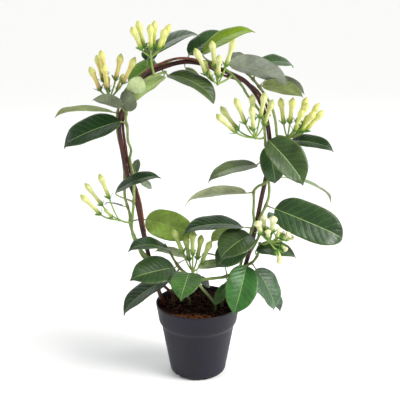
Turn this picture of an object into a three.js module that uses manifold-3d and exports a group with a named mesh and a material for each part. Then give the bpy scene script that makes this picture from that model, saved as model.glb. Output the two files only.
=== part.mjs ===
// Madagascar jasmine (Stephanotis floribunda) in its nursery pot, trained round a wire hoop. Millimetres,
// +Z up, origin in the middle of the pot's flat base. The hoop stands in the plane y = 0 and the plant's
// show side faces -Y.
//
// Every stem is a curve. Where a stem twines, its points are given in the hoop's own terms by on(): how
// far along the hoop, which way round it and how far off it. Leaves and bud heads are grown on the stems
// by leaf() and umbel().
import * as THREE from 'three';
import { mergeVertices } from 'three/addons/utils/BufferGeometryUtils.js';
import Module from 'manifold-3d';

const wasm = await Module();
wasm.setup();

// ------------------------------------------------------------------ driving dimensions
const GAP = 0.35;            // air between two pieces that touch on the real plant
const POT = { height: 106, rimR: 60, bandLow: 79, bandR: 56, neckZ: 74.5, neckR: 52, footR: 41, wall: 1.6,
  floor: 2.6, notchTurn: 0.22 };
const POT_SIDES = 32;
const SOIL_TOP = 99;
const HOOP_R = 3.1;          // plastic-sleeved wire
const WOOD_R = 2.0;          // last year's brown stem
const VINE_R = 2.1;          // this year's green stems
const PETIOLE_R = 1.15;
const BLADE = 0.9;           // thickness of a leaf blade
const BUD = { length: 34, tubeR: 2.6, neckR: 2.7, headR: 4.3, pedicelR: 0.9, peduncleR: 1.4 };

const V = (x, y, z) => new THREE.Vector3(x, y, z);
const unit = (a) => a.clone().normalize();
const along = (a, d, k) => a.clone().addScaledVector(d, k);
const lerp = (a, b, t) => a + (b - a) * t;
const smooth = (points) => new THREE.CatmullRomCurve3(points, false, 'centripetal');

// ------------------------------------------------------------------ solids
const toSolid = (geometry) => {
  const g = geometry.clone();
  for (const name of ['normal', 'uv']) g.deleteAttribute(name);
  const m = mergeVertices(g, 1e-4);
  return new wasm.Manifold(new wasm.Mesh({
    numProp: 3,
    vertProperties: Float32Array.from(m.attributes.position.array),
    triVerts: Uint32Array.from(m.index.array),
  }));
};
const toGeometry = (solid) => {
  const mesh = solid.getMesh();
  const g = new THREE.BufferGeometry();
  g.setAttribute('position', new THREE.BufferAttribute(Float32Array.from(mesh.vertProperties), 3));
  g.setIndex(new THREE.BufferAttribute(Uint32Array.from(mesh.triVerts), 1));
  g.computeVertexNormals();
  return g;
};
const fuse = (solids) => solids.reduce((a, b) => a.add(b));

// A closed skin through rings of points, with a point in the middle of each end ring.
function loft(rings) {
  const n = rings[0].length;
  const middle = (ring) => ring.reduce((a, p) => a.add(p), V(0, 0, 0)).divideScalar(n);
  const points = [...rings.flat(), middle(rings[0]), middle(rings.at(-1))];
  const index = [];
  const first = rings.length * n, last = first + 1;
  for (let k = 0; k < n; k++) {
    const m = (k + 1) % n;
    index.push(first, m, k, last, first - n + k, first - n + m);
    for (let r = 0; r + 1 < rings.length; r++) {
      const a = r * n + k, b = r * n + m;
      index.push(a, b, b + n, a, b + n, a + n);
    }
  }
  const g = new THREE.BufferGeometry();
  g.setAttribute('position', new THREE.Float32BufferAttribute(points.flatMap((p) => p.toArray()), 3));
  g.setIndex(index);
  return g;
}

// A round rod along a curve. radius(t) gives its radius at each fraction of the length.
function rod(curve, radius, step, sides, from = 0, to = 1) {
  const cuts = Math.max(2, Math.round(curve.getLength() * (to - from) / step));
  const rings = [];
  let side = null;
  for (let i = 0; i <= cuts; i++) {
    const t = lerp(from, to, i / cuts);
    const ahead = curve.getTangentAt(t);
    side = side ? side.addScaledVector(ahead, -side.dot(ahead)).normalize()
      : unit(V(0.31, 0.93, 0.17).cross(ahead));
    const up = ahead.clone().cross(side);
    const centre = curve.getPointAt(t);
    rings.push([...Array(sides).keys()].map((k) => {
      const turn = (k / sides) * 2 * Math.PI;
      return along(along(centre, side, radius(t) * Math.cos(turn)), up, radius(t) * Math.sin(turn));
    }));
    side = side.clone();
  }
  return loft(rings);
}

// ------------------------------------------------------------------ hoop and how stems lie on it
// The hoop from its left foot over the top to its right foot, seen from the show side: [x, z].
const HOOP_LINE = [[-38, 60], [-50.5, 104], [-52.2, 110], [-56, 123], [-64, 153], [-77, 213], [-85, 257],
  [-95, 288], [-102, 327], [-105, 360], [-101, 378], [-87, 403], [-66, 427], [-43, 438], [-14, 444.5],
  [20, 438], [45, 428], [62, 419], [79, 399], [90, 373], [96, 345], [97, 322], [93, 290], [87, 257],
  [79, 210], [70, 172], [60, 135], [51.8, 110], [50.5, 104], [41, 60]];
const hoopCurve = smooth(HOOP_LINE.map(([x, z]) => V(x, 0, z)));
const HOOP_LENGTH = hoopCurve.getLength();

// A point on a twining stem: run mm along the hoop from its left foot, turn degrees round it (0 outwards,
// 90 at the front, 180 inwards, 270 behind), off mm from its axis.
function on(run, turn, off = HOOP_R + VINE_R + 0.8) {
  const t = run / HOOP_LENGTH;
  const tangent = hoopCurve.getTangentAt(t);
  const outwards = V(-tangent.z, 0, tangent.x);
  const a = THREE.MathUtils.degToRad(turn);
  return along(along(hoopCurve.getPointAt(t), outwards, off * Math.cos(a)), V(0, -1, 0), off * Math.sin(a));
}

const WOOD_OFF = HOOP_R + WOOD_R + 0.6;
const stems = {
  wood: smooth([V(-34, 13, 62), V(-36, 13, 104), V(-36.3, 13, 110), on(85, 275, 7),
    on(120, 270, WOOD_OFF), on(160, 250, WOOD_OFF), on(200, 225, WOOD_OFF), on(240, 215, WOOD_OFF),
    on(280, 215, WOOD_OFF), on(315, 222, WOOD_OFF), on(340, 250, WOOD_OFF), on(365, 280, WOOD_OFF),
    on(390, 310, WOOD_OFF), on(415, 345, WOOD_OFF), on(435, 20, WOOD_OFF), on(455, 55, WOOD_OFF),
    on(473, 105, WOOD_OFF), on(492, 168, WOOD_OFF), on(513, 230, WOOD_OFF), on(535, 290, WOOD_OFF),
    on(558, 340, WOOD_OFF), on(580, 20, WOOD_OFF)]),
  left: smooth([V(-12, -2, 62), V(-12, -2, 104), V(-12, -2, 108), V(-32, 1, 130), V(-51, 3, 149),
    on(100, 190, 7.5), on(112, 120, 6.8), on(124, 65, 8), on(136, 25, 11), on(158, 20, 15),
    on(183, 30, 10), on(200, 60, 7), on(222, 125, 7.5), on(243, 160, 9), on(262, 178, 8.5),
    on(273, 180, 12), on(286, 180, 10), on(305, 180, 11), on(319, 168, 8), on(336, 140, 6.5),
    on(352, 115, 6.5), on(368, 100, 7), on(384, 110, 7.5), on(398, 130, 8), on(412, 140, 8)]),
  top: smooth([V(-22, 9, 62), V(-22, 9, 104), V(-22, 9, 108), V(-42, 16, 130), V(-64, 17, 156),
    on(118, 320, 13), on(145, 350, 12.5), on(165, 340, 17), on(183, 345, 14), on(200, 0, 14),
    on(213, 0, 13), on(229, 330, 9), on(247, 300, 6.5), on(272, 290), on(300, 300, 6.5),
    on(325, 318, 7.5), on(345, 330, 10), on(365, 320, 11), on(390, 300, 11), on(415, 280, 10),
    on(435, 275, 8), on(455, 285, 6.5), on(472, 310, 6.5), on(488, 340, 6.5)]),
  inner: smooth([V(26, 11, 62), V(26, 11, 104), V(26, 11, 108), V(45, 12, 132), on(815, 285),
    on(785, 280), on(762, 325, 6.5), on(746, 15, 7), on(735, 55), on(725, 72), on(714, 50, 6.5),
    on(703, 20, 8), on(690, 2, 9.5), on(678, 340, 8.5), on(665, 310, 6.5), on(648, 280), on(630, 240),
    on(618, 200), on(602, 160), on(588, 145), on(570, 152), on(553, 172, 9), on(540, 178, 10),
    on(526, 165, 7.5), on(512, 120), on(502, 80), on(490, 50)]),
  outer: smooth([V(34, -7, 62), V(34, -7, 104), V(34, -7, 108), V(46, -8, 130), on(815, 150, 7),
    on(790, 180, 7), on(765, 170, 6.5), on(745, 150), on(728, 135), on(716, 150, 8.5), on(705, 165, 9),
    on(695, 172, 10.5), on(685, 172, 12.5), on(677, 150, 10), on(671, 105, 7.5), on(663, 50, 7.5),
    on(652, 15, 9), on(638, 0, 11), V(108, -5, 332), V(105, -7, 350), V(103, -6, 367), V(98, -4, 385),
    V(89, -1, 401), V(80, 2, 413), V(69, 5, 425), V(58, 9, 435)]),
  low: smooth([V(24, -20, 62), V(24, -20, 104), V(24, -20, 108), V(17, -20, 120), V(6, -20, 134),
    V(-4, -19, 148), V(-15, -16, 154), V(-25, -12, 161), V(-33, -9, 172), V(-39, -9, 184),
    V(-46, -10, 196)]),
  lowRight: smooth([V(-3, -19, 146), V(9, -19, 147), V(23, -17, 148), V(36, -15, 149), V(48, -13, 153),
    V(58, -11, 160), V(67, -10, 164), V(76, -10, 169), V(83, -9, 179), V(85, -10, 190), V(85, -12, 199)]),
};

// ------------------------------------------------------------------ leaves
// Half-width of the blade at fractions of its length, 1 at the widest: rounded base, full middle, short
// drip tip.
const OUTLINE = [[0, 0.10], [0.07, 0.56], [0.24, 0.91], [0.5, 1], [0.75, 0.80], [0.92, 0.34], [1, 0.05]];
const OUTLINE_SMALL = [[0, 0.12], [0.2, 0.8], [0.6, 0.92], [1, 0.06]];

// One blade from base to tip. face is the way its upper side looks, arch bows the midrib up (fraction of
// the length), fold lifts both halves into a trough (degrees, negative droops them).
function blade({ base, tip, width, face, arch = 0.06, fold = 14 }) {
  const small = width < 24;
  const outline = small ? OUTLINE_SMALL : OUTLINE;
  const across = [-1, 0, 1];
  const ahead = tip.clone().sub(base);
  const length = ahead.length();
  ahead.normalize();
  const up = unit(along(face, ahead, -face.dot(ahead)));
  const side = ahead.clone().cross(up);
  const lift = Math.tan(THREE.MathUtils.degToRad(fold));
  const middle = outline.map(([s, half]) => across.map((t) => {
    const out = t * half * width / 2;
    const bow = length * (arch * 4 * s * (1 - s) - 0.05 * Math.max(0, s - 0.8) / 0.2);
    const trough = Math.abs(out) * lift;
    return along(along(along(base, ahead, s * length), side, out), up, bow + trough);
  }));
  const rows = middle.length, cols = across.length;
  const at = (i, j) => middle[Math.min(rows - 1, Math.max(0, i))][Math.min(cols - 1, Math.max(0, j))];
  const skin = (k) => middle.flatMap((row, i) => row.map((p, j) => {
    const normal = unit(at(i,
      j + 1).clone().sub(at(i, j - 1)).cross(at(i + 1, j).clone().sub(at(i - 1, j))));
    if (normal.dot(up) < 0) normal.negate();
    return along(p, normal, k * BLADE / 2);
  }));
  const points = [...skin(1), ...skin(-1)];
  const under = rows * cols;
  const index = [];
  for (let i = 0; i + 1 < rows; i++) {
    for (let j = 0; j + 1 < cols; j++) {
      const a = i * cols + j, b = a + 1, c = a + cols, d = c + 1;
      if (j < (cols - 1) / 2) {
        index.push(a, d, c, a, b, d, under + a, under + c, under + d, under + a, under + d, under + b);
      } else {
        index.push(a, b, c, b, d, c, under + a, under + c, under + b, under + b, under + c, under + d);
      }
    }
    const a = i * cols, c = a + cols, b = a + cols - 1, d = c + cols - 1;
    index.push(a, c, under + c, a, under + c, under + a, b, under + d, d, b, under + b, under + d);
  }
  for (let j = 0; j + 1 < cols; j++) {
    const a = j, b = j + 1, c = (rows - 1) * cols + j, d = c + 1;
    index.push(a, under + a, under + b, a, under + b, b, c, d, under + d, c, under + d, under + c);
  }
  const g = new THREE.BufferGeometry();
  g.setAttribute('position', new THREE.Float32BufferAttribute(points.flatMap((p) => p.toArray()), 3));
  g.setIndex(index);
  return g;
}

// How far along a stem, as a fraction of its length, it comes nearest to p.
function nearest(curve, p) {
  let best = 0, least = Infinity;
  for (let i = 0; i <= 400; i++) {
    const reach = curve.getPointAt(i / 400).distanceTo(p);
    if (reach < least) [best, least] = [i / 400, reach];
  }
  return best;
}

// A green stem thins from its foot to its tip.
const vineR = (t) => VINE_R * lerp(1.05, 0.78, t);

// A leaf: its stalk is sunk in the stem and runs on under the blade as the start of the midrib.
function leaf(stem, [base, tip, width, face, arch, fold, root]) {
  const spec = { base: V(...base), tip: V(...tip), width, face: unit(V(...face)), arch, fold };
  const ahead = unit(spec.tip.clone().sub(spec.base));
  const up = unit(along(spec.face, ahead, -spec.face.dot(ahead)));
  const foot = stem.getPointAt(nearest(stem, root ? V(...root) : spec.base));
  const reach = foot.distanceTo(spec.base);
  const long = spec.tip.distanceTo(spec.base), s = 4 / long;
  const inside = along(along(spec.base, ahead, 4), up, long * spec.arch * 4 * s * (1 - s) - 0.15);
  const stalk = new THREE.CubicBezierCurve3(foot, foot.clone().lerp(spec.base, 0.45),
    along(along(spec.base, ahead, -0.35 * reach), up, -0.4), inside);
  const r = width < 24 ? 0.8 : PETIOLE_R;
  return [toSolid(blade(spec)), toSolid(rod(stalk, (t) => r * lerp(1.15, 0.7, t), 16, 4))];
}

// ------------------------------------------------------------------ bud heads
// A bud: a thin stalk from the head's middle, a green cup of sepals, the narrow tube and the pointed head.
function bud(middle, tip, size = 1) {
  const reach = tip.clone().sub(middle);
  const drop = Math.max(0.25 * reach.z, reach.z - BUD.length * size);
  const foot = middle.clone().add(V(0.5 * reach.x, 0.5 * reach.y, drop));
  const axis = unit(tip.clone().sub(foot));
  const long = tip.distanceTo(foot);
  const bend = middle.clone().lerp(foot, 0.6).add(V(0, 0, -0.18 * middle.distanceTo(foot)));
  const stalk = new THREE.QuadraticBezierCurve3(middle, bend, foot);
  const rows = [[0, BUD.pedicelR], [0.55, BUD.pedicelR]].map(([t, r]) =>
    [stalk.getPoint(t), stalk.getTangent(t), r * Math.sqrt(size)]);
  for (const [t, r] of [[0, BUD.pedicelR * 1.3], [0.07, BUD.tubeR * 1.15], [0.52, BUD.neckR],
    [0.78, BUD.headR], [1, BUD.headR * 0.2]]) {
    rows.push([along(foot, axis, t * long), axis, r * size]);
  }
  let side = unit(V(0.2, 0.95, 0.1).cross(rows[0][1]));
  return loft(rows.map(([centre, ahead, r]) => {
    side = unit(along(side, ahead, -side.dot(ahead)));
    const up = ahead.clone().cross(side);
    return [0, 1, 2, 3, 4].map((k) => {
      const turn = (k / 5) * 2 * Math.PI;
      return along(along(centre, side, r * Math.cos(turn)), up, r * Math.sin(turn));
    });
  }));
}

// A head of buds on one stalk that comes off a stem. tips are measured from the head's middle; the fourth
// number shortens a bud that is still young.
function umbel(stem, { root, middle, tips }) {
  const m = V(...middle);
  const t = nearest(stem, V(...root));
  const foot = stem.getPointAt(t), ahead = stem.getTangentAt(t);
  const out = m.clone().sub(foot);
  const away = unit(along(out, ahead, -out.dot(ahead)));
  const start = along(foot, away, vineR(t) + GAP + 0.1);
  const stalk = new THREE.QuadraticBezierCurve3(start, along(start, away, 0.4 * start.distanceTo(m)), m);
  const solids = [toSolid(rod(stalk, () => BUD.peduncleR, 11, 5)),
    toSolid(new THREE.IcosahedronGeometry(2.2, 0).translate(m.x, m.y, m.z))];
  for (const [dx, dy, dz, size = 1] of tips) {
    solids.push(toSolid(bud(m, m.clone().add(V(dx, dy, dz)), size)));
  }
  return fuse(solids);
}

// ------------------------------------------------------------------ pot and soil
function pot() {
  const p = POT, w = p.wall;
  const profile = [[0, 0], [34.5, 0], [p.footR - 1.5, 3], [p.footR, 9], [p.neckR, p.neckZ - 2],
    [p.neckR + 0.6, p.neckZ], [p.bandR - 0.6, p.bandLow - 2.5], [p.bandR, p.bandLow],
    [p.rimR - 0.4, p.height - 4], [p.rimR, p.height - 2], [p.rimR - 0.6, p.height],
    [p.rimR - w, p.height], [p.bandR - w, p.bandLow], [p.neckR - w, p.neckZ - 1], [p.footR - w, 9],
    [p.footR - w - 3, p.floor], [0, p.floor]];
  const shell = new THREE.LatheGeometry(profile.map(([x, y]) => new THREE.Vector2(x, y)),
    POT_SIDES).rotateX(Math.PI / 2);
  let solid = toSolid(shell);
  // Drain holes through the floor, and notches in the foot that let the water out.
  for (let k = 0; k < 6; k++) {
    const turn = (k + 0.5) * Math.PI / 3;
    const hole = new THREE.CylinderGeometry(3.5, 3.5, 12, 8).rotateX(Math.PI / 2)
      .translate(22 * Math.cos(turn), 22 * Math.sin(turn), 1);
    solid = solid.subtract(toSolid(hole));
    const notch = new THREE.BoxGeometry(9, 8, 9).translate(38.5, 0, 0).rotateZ(turn + POT.notchTurn);
    solid = solid.subtract(toSolid(notch));
  }
  return solid;
}

function soil(posts) {
  const p = POT, in1 = p.wall + GAP + 0.1;
  const profile = [[0, p.floor + GAP], [p.footR - p.wall - 3.6, p.floor + GAP], [p.footR - in1, 9.4],
    [p.neckR - in1, p.neckZ - 0.8], [p.bandR - in1, p.bandLow + 0.3],
    [lerp(p.bandR, p.rimR, 0.6) - in1, SOIL_TOP - 2], [49, SOIL_TOP], [26, SOIL_TOP + 1],
    [0, SOIL_TOP + 1.5]];
  const body = new THREE.LatheGeometry(profile.map(([x, y]) => new THREE.Vector2(x, y)),
    POT_SIDES).rotateX(Math.PI / 2);
  // Crumbs: the top rises and falls by a few millimetres.
  const pos = body.attributes.position;
  for (let i = 0; i < pos.count; i++) {
    const x = pos.getX(i), y = pos.getY(i), z = pos.getZ(i);
    if (z < SOIL_TOP - 0.5 || Math.hypot(x, y) < 1) continue;
    pos.setZ(i,
      z + 1.6 * Math.sin(0.31 * x + 1.1) * Math.cos(0.27 * y) + 1.0 * Math.sin(0.53 * y - 0.41 * x));
  }
  return posts.reduce((solid, post) => solid.subtract(post), toSolid(body));
}

// ------------------------------------------------------------------ the plant, stem by stem
// Each leaf: [base], [tip], width, [the way its upper side looks], arch, fold, [where its stalk leaves
// the stem].
const leaves = {
  left: [
    [[-102, -13, 368], [-176, -31, 340], 42, [0.1, -0.55, 0.83], 0.05, 12, [-98, -4, 360]],
    [[-100, -12, 386], [-134, -34, 402], 27, [0.2, 0.75, 0.65], 0.06, 10, [-97, -6, 376]],
    [[-100, -14, 389], [-82, -21, 405], 30, [0.2, 0.9, -0.4], 0.06, 10, [-94, -6, 384]],
    [[-68, -13, 417], [-91, -25, 414], 23, [-0.2, -0.95, 0.25], 0.08, 8],
    [[-39, -12, 428], [22, -36, 400], 38, [0.2, -0.35, 0.9], 0.12, 8],
    [[-111, -16, 272], [-51, -36, 301], 29, [-0.2, -0.35, 0.9], 0.07, 10, [-88, -8, 255]],
    [[-85, 3, 294], [-82, 12, 312], 13, [-0.4, -0.8, 0.4], 0.05, 10],
    [[-79, 3, 281], [-63, 15, 270], 15, [0.1, -0.6, 0.75], 0.05, 10],
  ],
  top: [
    [[-113, 8, 377], [-196, 34, 372], 30, [0, 0.4, 0.9], 0.03, 10],
    [[-44, 12, 424], [-90, 31, 387], 31, [-0.5, 0.6, 0.6], 0.05, 8, [-50, 10, 437]],
    [[-54, 20, 440], [-96, 36, 408], 30, [0, -0.85, 0.5], 0.06, 8],
    [[-58, 18, 446], [-70, 32, 460], 22, [-0.3, -0.6, 0.7], 0.05, 8],
    [[-66, 6, 447], [2, 22, 480], 40, [-0.35, -0.35, 0.85], 0.10, 8, [-66, 10, 435]],
    [[-12, 14, 452], [40, 34, 480], 38, [-0.3, -0.55, 0.75], 0.06, 8],
    [[6, 3, 454], [72, 2, 486], 29, [-0.2, -0.5, 0.8], 0.11, 8, [16, 3, 446]],
    [[-16, 2, 435], [4, 14, 423], 13, [0.5, -0.3, 0.8], 0.05, 8],
    [[-74, 20, 222], [-2, -2, 207], 42, [0, -0.9, 0.45], 0.05, 8, [-90, 2, 224]],
    [[-104, 6, 246], [-131, 22, 246], 12, [0, 0.3, 0.95], 0.05, 8],
  ],
  inner: [
    [[93, -9, 334], [105, -13, 283], 33, [0.15, -0.97, 0.1], 0.03, 6, [92, 1, 333]],
    [[80, -5, 307], [14, -38, 297], 28, [0, -0.35, 0.93], 0.07, 10, [92, 3, 327]],
    [[105, -10, 247], [197, -30, 212], 53, [0.2, -0.85, 0.5], 0.04, 8],
    [[97, 4, 230], [121, 34, 208], 24, [0.2, -0.5, 0.8], 0.06, 8],
    [[122, 10, 286], [194, 44, 247], 30, [0.36, 0.08, 0.72], 0.06, 8],
    [[84, 18, 120], [123, 30, 80], 34, [0.2, 0.7, 0.7], 0.05, 8],
  ],
  outer: [
    [[76, 16, 436], [40, 40, 446], 32, [0, 0.55, 0.8], 0.08, 8, [66, 7, 430]],
    [[40, -5, 442], [117, -27, 421], 37, [0.2, 0.75, 0.6], 0.07, 8, [60, 8, 434]],
    [[95, 6, 422], [142, 4, 404], 22, [0.25, 0.75, 0.6], 0.06, 8],
    [[80, 10, 438], [130, 34, 437], 30, [0, -0.45, 0.9], 0.10, 8, [74, 4, 421]],
    [[84, -7, 414], [137, -21, 404], 27, [0.1, 0.75, 0.6], 0.07, 8],
    [[124, -4, 340], [178, -28, 334], 27, [0.1, -0.5, 0.85], 0.07, 10, [107, -5, 338]],
    [[93, -18, 344], [139, -46, 292], 47, [0.1, -0.75, 0.65], 0.04, 18, [105, -4, 329]],
    [[66, -6, 268], [-18, -30, 264], 32, [0, 0.65, 0.75], 0.07, 10],
    [[62, -8, 220], [-19, -40, 225], 40, [0, -0.2, 0.98], 0.08, 10],
    [[62, 10, 210], [19, 44, 183], 30, [0, 0.8, 0.5], 0.05, 8],
    [[72, -20, 213], [30, -54, 193], 47, [-0.3, -0.65, 0.65], 0.05, 10],
    [[66, -8, 196], [25, -26, 170], 40, [-0.3, -0.7, 0.6], 0.05, 10],
  ],
  low: [
    [[-38, -14, 188], [-92, -44, 202], 40, [-0.1, -0.2, 0.97], 0.10, 8],
    [[-16, 6, 171], [-60, 26, 175], 22, [0.1, 0.72, 0.5], 0.05, 8],
    [[-32, -18, 164], [-89, -58, 165], 46, [0, -0.6, 0.8], 0.06, 8],
    [[-40, -17, 147], [-104, -48, 110], 42, [-0.5, -0.3, 0.8], 0.08, 8],
    [[-12, -30, 161], [-22, -84, 147], 42, [0, -0.35, 0.93], 0.08, 8],
    [[0, -8, 142], [18, 14, 124], 16, [0.3, -0.6, 0.7], 0.05, 8],
  ],
  lowRight: [
    [[32, 2, 172], [6, 26, 168], 16, [0, 0.5, 0.85], 0.05, 8],
    [[0, -8, 160], [44, 10, 156], 20, [0, -0.3, 0.95], 0.08, 8],
    [[42, -20, 141], [23, -38, 117], 16, [-0.3, -0.7, 0.4], 0.05, 8],
    [[67, -20, 168], [49, -60, 114], 44, [0.1, -0.75, 0.6], 0.08, 8],
    [[81, -12, 160], [109, -28, 106], 46, [0.6, -0.5, 0.6], 0.06, 8],
    [[80, -16, 189], [136, -18, 182], 32, [0, -0.35, 0.93], 0.12, 8, [82, -9, 178]],
  ],
};

const umbels = {
  bud_head_upper_left: ['top', { root: [-107, 6, 386], middle: [-116, -2, 398], tips: [[-24, -8, 41],
    [-16, 6, 55], [-9, -6, 62], [-5, -14, 46], [16, 4, 57], [35, -2, 53], [-3, 12, 27, 0.6],
    [18, 12, 30, 0.6]] }],
  bud_head_top_left: ['left', { root: [-56, -6, 428], middle: [-60, -12, 452],
    tips: [[-24, -4, 38], [-17, 8, 45], [0, -8, 41], [5, 6, 45], [20, -6, 36], [25, 5, 41]] }],
  bud_head_top_middle: ['inner', { root: [45, -5, 428], middle: [26, -18, 418], tips: [[-30, -6, 46],
    [-8, 2, 55], [1, -12, 38], [20, -4, 57], [-18, 6, 30, 0.7], [-12, -10, 18, 0.5]] }],
  bud_head_lower_left: ['left', { root: [-91, -4, 226], middle: [-108, -10, 231],
    tips: [[-25, 2, 65], [-46, 6, 51, 0.9], [-50, -10, 39], [-18, -12, 20, 0.6]] }],
  bud_head_right_inner: ['inner', { root: [90, -3, 345], middle: [76, -17, 347], tips: [[-52, -8, 33],
    [-46, 6, 41], [-28, -8, 54], [-5, 6, 57], [-7, -12, 45], [10, -6, 61], [22, 5, 50]] }],
  bud_head_right_outer: ['outer', { root: [104, -7, 347], middle: [119, -9, 345], tips: [[-10, 6, 53],
    [5, -6, 55], [25, 4, 54], [18, -12, 42], [34, -8, 38], [47, 2, 37], [24, -12, 49, 0.9],
    [42, 6, 46, 0.9], [30, 10, 30, 0.8]] }],
  bud_head_low: ['low', { root: [-6, -19, 148], middle: [-7, -24, 160],
    tips: [[-27, 2, 62], [0, -6, 61], [-10, 8, 50], [12, 4, 53], [25, -4, 47]] }],
  bud_head_low_right: ['lowRight', { root: [85, -12, 199], middle: [97, -34, 208],
    tips: [[4, -2, 37, 0.9], [-18, -2, 30, 0.85], [-12, 8, 24, 0.75], [20, 4, 13, 0.75],
    [27, -6, 14, 0.75], [16, -6, -30, 0.85], [-4, -10, 20, 0.65], [-9, 10, 35, 0.7], [14, -8, 22, 0.65],
    [33, 3, 6, 0.65], [24, 2, -14, 0.6]] }],
};

const green = (...curves) => fuse([
  ...curves.map((c) => toSolid(rod(stems[c], vineR, 14, 5))),
  ...curves.flatMap((c) => leaves[c].flatMap((row) => leaf(stems[c], row))),
]);

// ------------------------------------------------------------------ the scene
const colours = { pot: 0x434148, soil: 0x2e1c12, hoop: 0x3a2326, wood: 0x7a4432, leaf: 0x38592b,
  buds: 0xdcdc98 };
const look = (name, color, roughness, metalness = 0) =>
  Object.assign(new THREE.MeshStandardMaterial({ color, roughness, metalness }), { name });
const materials = {
  pot: look('pot plastic', colours.pot, 0.6), soil: look('potting soil', colours.soil, 0.95),
  hoop: look('plastic-sleeved wire', colours.hoop, 0.35), wood: look('woody stem', colours.wood, 0.6),
  leaf: look('jasmine leaf', colours.leaf, 0.35), buds: look('jasmine buds', colours.buds, 0.5),
};

const group = new THREE.Group();
group.name = 'madagascar_jasmine';
function place(name, solid, material) {
  const mesh = new THREE.Mesh(toGeometry(solid), material);
  mesh.name = name;
  group.add(mesh);
}

// Plain straight holes in the soil round the hoop's feet and the stems, whose first piece is straight.
const hole = (curve, radius) => {
  const foot = curve.getPointAt(0), ahead = curve.getTangentAt(0);
  const wide = (radius + GAP) / Math.cos(Math.PI / 8);
  return toSolid(rod(new THREE.LineCurve3(along(foot, ahead, -1), along(foot, ahead, 50)), () => wide, 30,
    8));
};
const back = smooth(hoopCurve.points.slice().reverse());
const posts = [hole(hoopCurve, HOOP_R), hole(back, HOOP_R), hole(stems.wood, WOOD_R * 1.1),
  ...['left', 'top', 'inner', 'outer', 'low'].map((k) => hole(stems[k], VINE_R * 1.1))];

place('pot', pot(), materials.pot);
place('soil', soil(posts), materials.soil);
place('hoop', toSolid(rod(hoopCurve, () => HOOP_R, 22, 8)), materials.hoop);
place('woody_stem', toSolid(rod(stems.wood, (t) => WOOD_R * lerp(1.08, 0.8, t), 14, 5)), materials.wood);
place('leafy_stem_left', green('left'), materials.leaf);
place('leafy_stem_top', green('top'), materials.leaf);
place('leafy_stem_right_inner', green('inner'), materials.leaf);
place('leafy_stem_right_outer', green('outer'), materials.leaf);
place('leafy_stem_low', green('low', 'lowRight'), materials.leaf);
for (const [name, [stem, spec]] of Object.entries(umbels)) {
  place(name, umbel(stems[stem], spec), materials.buds);
}

export default group;
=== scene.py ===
# %% [markdown]
# # Madagascar jasmine on a hoop
#
# A climbing house plant, *Stephanotis floribunda*, in its nursery pot. Its stems twine round a sleeved wire
# hoop, and carry leathery leaves in pairs and heads of waxy buds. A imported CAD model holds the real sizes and
# places. Here each of its pieces gets a finer surface and a real finish: the CAD model says where a leaf is
# and which way it looks, and this script works out its curved blade, its midrib and its colour.
#
# Lengths in the tables are millimetres, in the CAD model's own frame: the pot's axis is Z, its base is z = 0,
# the hoop stands in the plane y = 0 and the show side faces -Y. Meshes are made in metres.

import bpy
import numpy as np
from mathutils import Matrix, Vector


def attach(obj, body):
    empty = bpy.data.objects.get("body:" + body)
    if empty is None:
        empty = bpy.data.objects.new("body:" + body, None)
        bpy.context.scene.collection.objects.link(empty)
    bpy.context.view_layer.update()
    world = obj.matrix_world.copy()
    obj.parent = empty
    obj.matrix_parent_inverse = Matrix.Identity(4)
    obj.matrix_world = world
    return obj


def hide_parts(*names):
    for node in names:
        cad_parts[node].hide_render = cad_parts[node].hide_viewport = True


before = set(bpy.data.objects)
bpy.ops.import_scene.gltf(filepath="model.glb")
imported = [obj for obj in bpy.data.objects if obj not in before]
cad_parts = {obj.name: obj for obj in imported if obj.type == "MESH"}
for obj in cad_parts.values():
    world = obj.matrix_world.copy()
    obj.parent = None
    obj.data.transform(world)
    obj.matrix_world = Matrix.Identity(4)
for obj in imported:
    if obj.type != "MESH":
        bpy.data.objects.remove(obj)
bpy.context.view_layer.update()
rng = np.random.default_rng(7)

# %% [markdown]
# ## Camera, floor and light
#
# A plant this size is usually shown from the front, from about a metre away and a little above. A long lens
# keeps the pot's sides nearly parallel. The light is a soft studio: two big lamps, one either side, and a
# pale sky all round, so that the glossy leaves mirror broad soft shapes and not bright points.

# %% Camera
def put(name, data):
    """A new object in the scene that shows the data: a mesh, a lamp or a camera."""
    made = bpy.data.objects.new(name, data)
    bpy.context.scene.collection.objects.link(made)
    return made


CAMERA_AT = (0.003, -0.972, 0.539)
CAMERA_DOWN = 16.2          # degrees below level
FOCAL_PX = 736              # focal length in pixels of a picture 400 pixels wide
PICTURE_PX = 400
SENSOR = 36                 # mm
camera = put("camera", bpy.data.cameras.new("camera"))
camera.data.sensor_width = SENSOR
camera.data.lens = SENSOR * FOCAL_PX / PICTURE_PX
camera.location = CAMERA_AT
camera.rotation_euler = (np.radians(90 - CAMERA_DOWN), 0, 0)
bpy.context.scene.camera = camera
print("lens mm:", round(camera.data.lens, 1))


# %% Colours from hex
def linear(hex_colour):
    """sRGB hex to linear RGB: a 2.4 power law over 0.04045, a straight line of slope 1 / 12.92 below."""
    srgb = np.array([int(hex_colour[i:i + 2], 16) for i in (1, 3, 5)]) / 255
    return np.where(srgb > 0.04045, ((srgb + 0.055) / 1.055) ** 2.4, srgb / 12.92)


def rgba(hex_colour):
    """The same, with the alpha of 1 that a colour socket asks for."""
    return (*linear(hex_colour), 1.0)


print("middle grey as linear:", linear("#808080").round(3))


# %% One helper that adds a node
def feed(node, inputs):
    """Fills a node's inputs. A node gives its first output, a socket is linked, the rest are plain values."""
    for name, value in inputs.items():
        if isinstance(value, bpy.types.Node):
            value = value.outputs[0]
        if isinstance(value, bpy.types.NodeSocket):
            node.id_data.links.new(value, node.inputs[name])
        else:
            node.inputs[name].default_value = value
    return node


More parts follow.
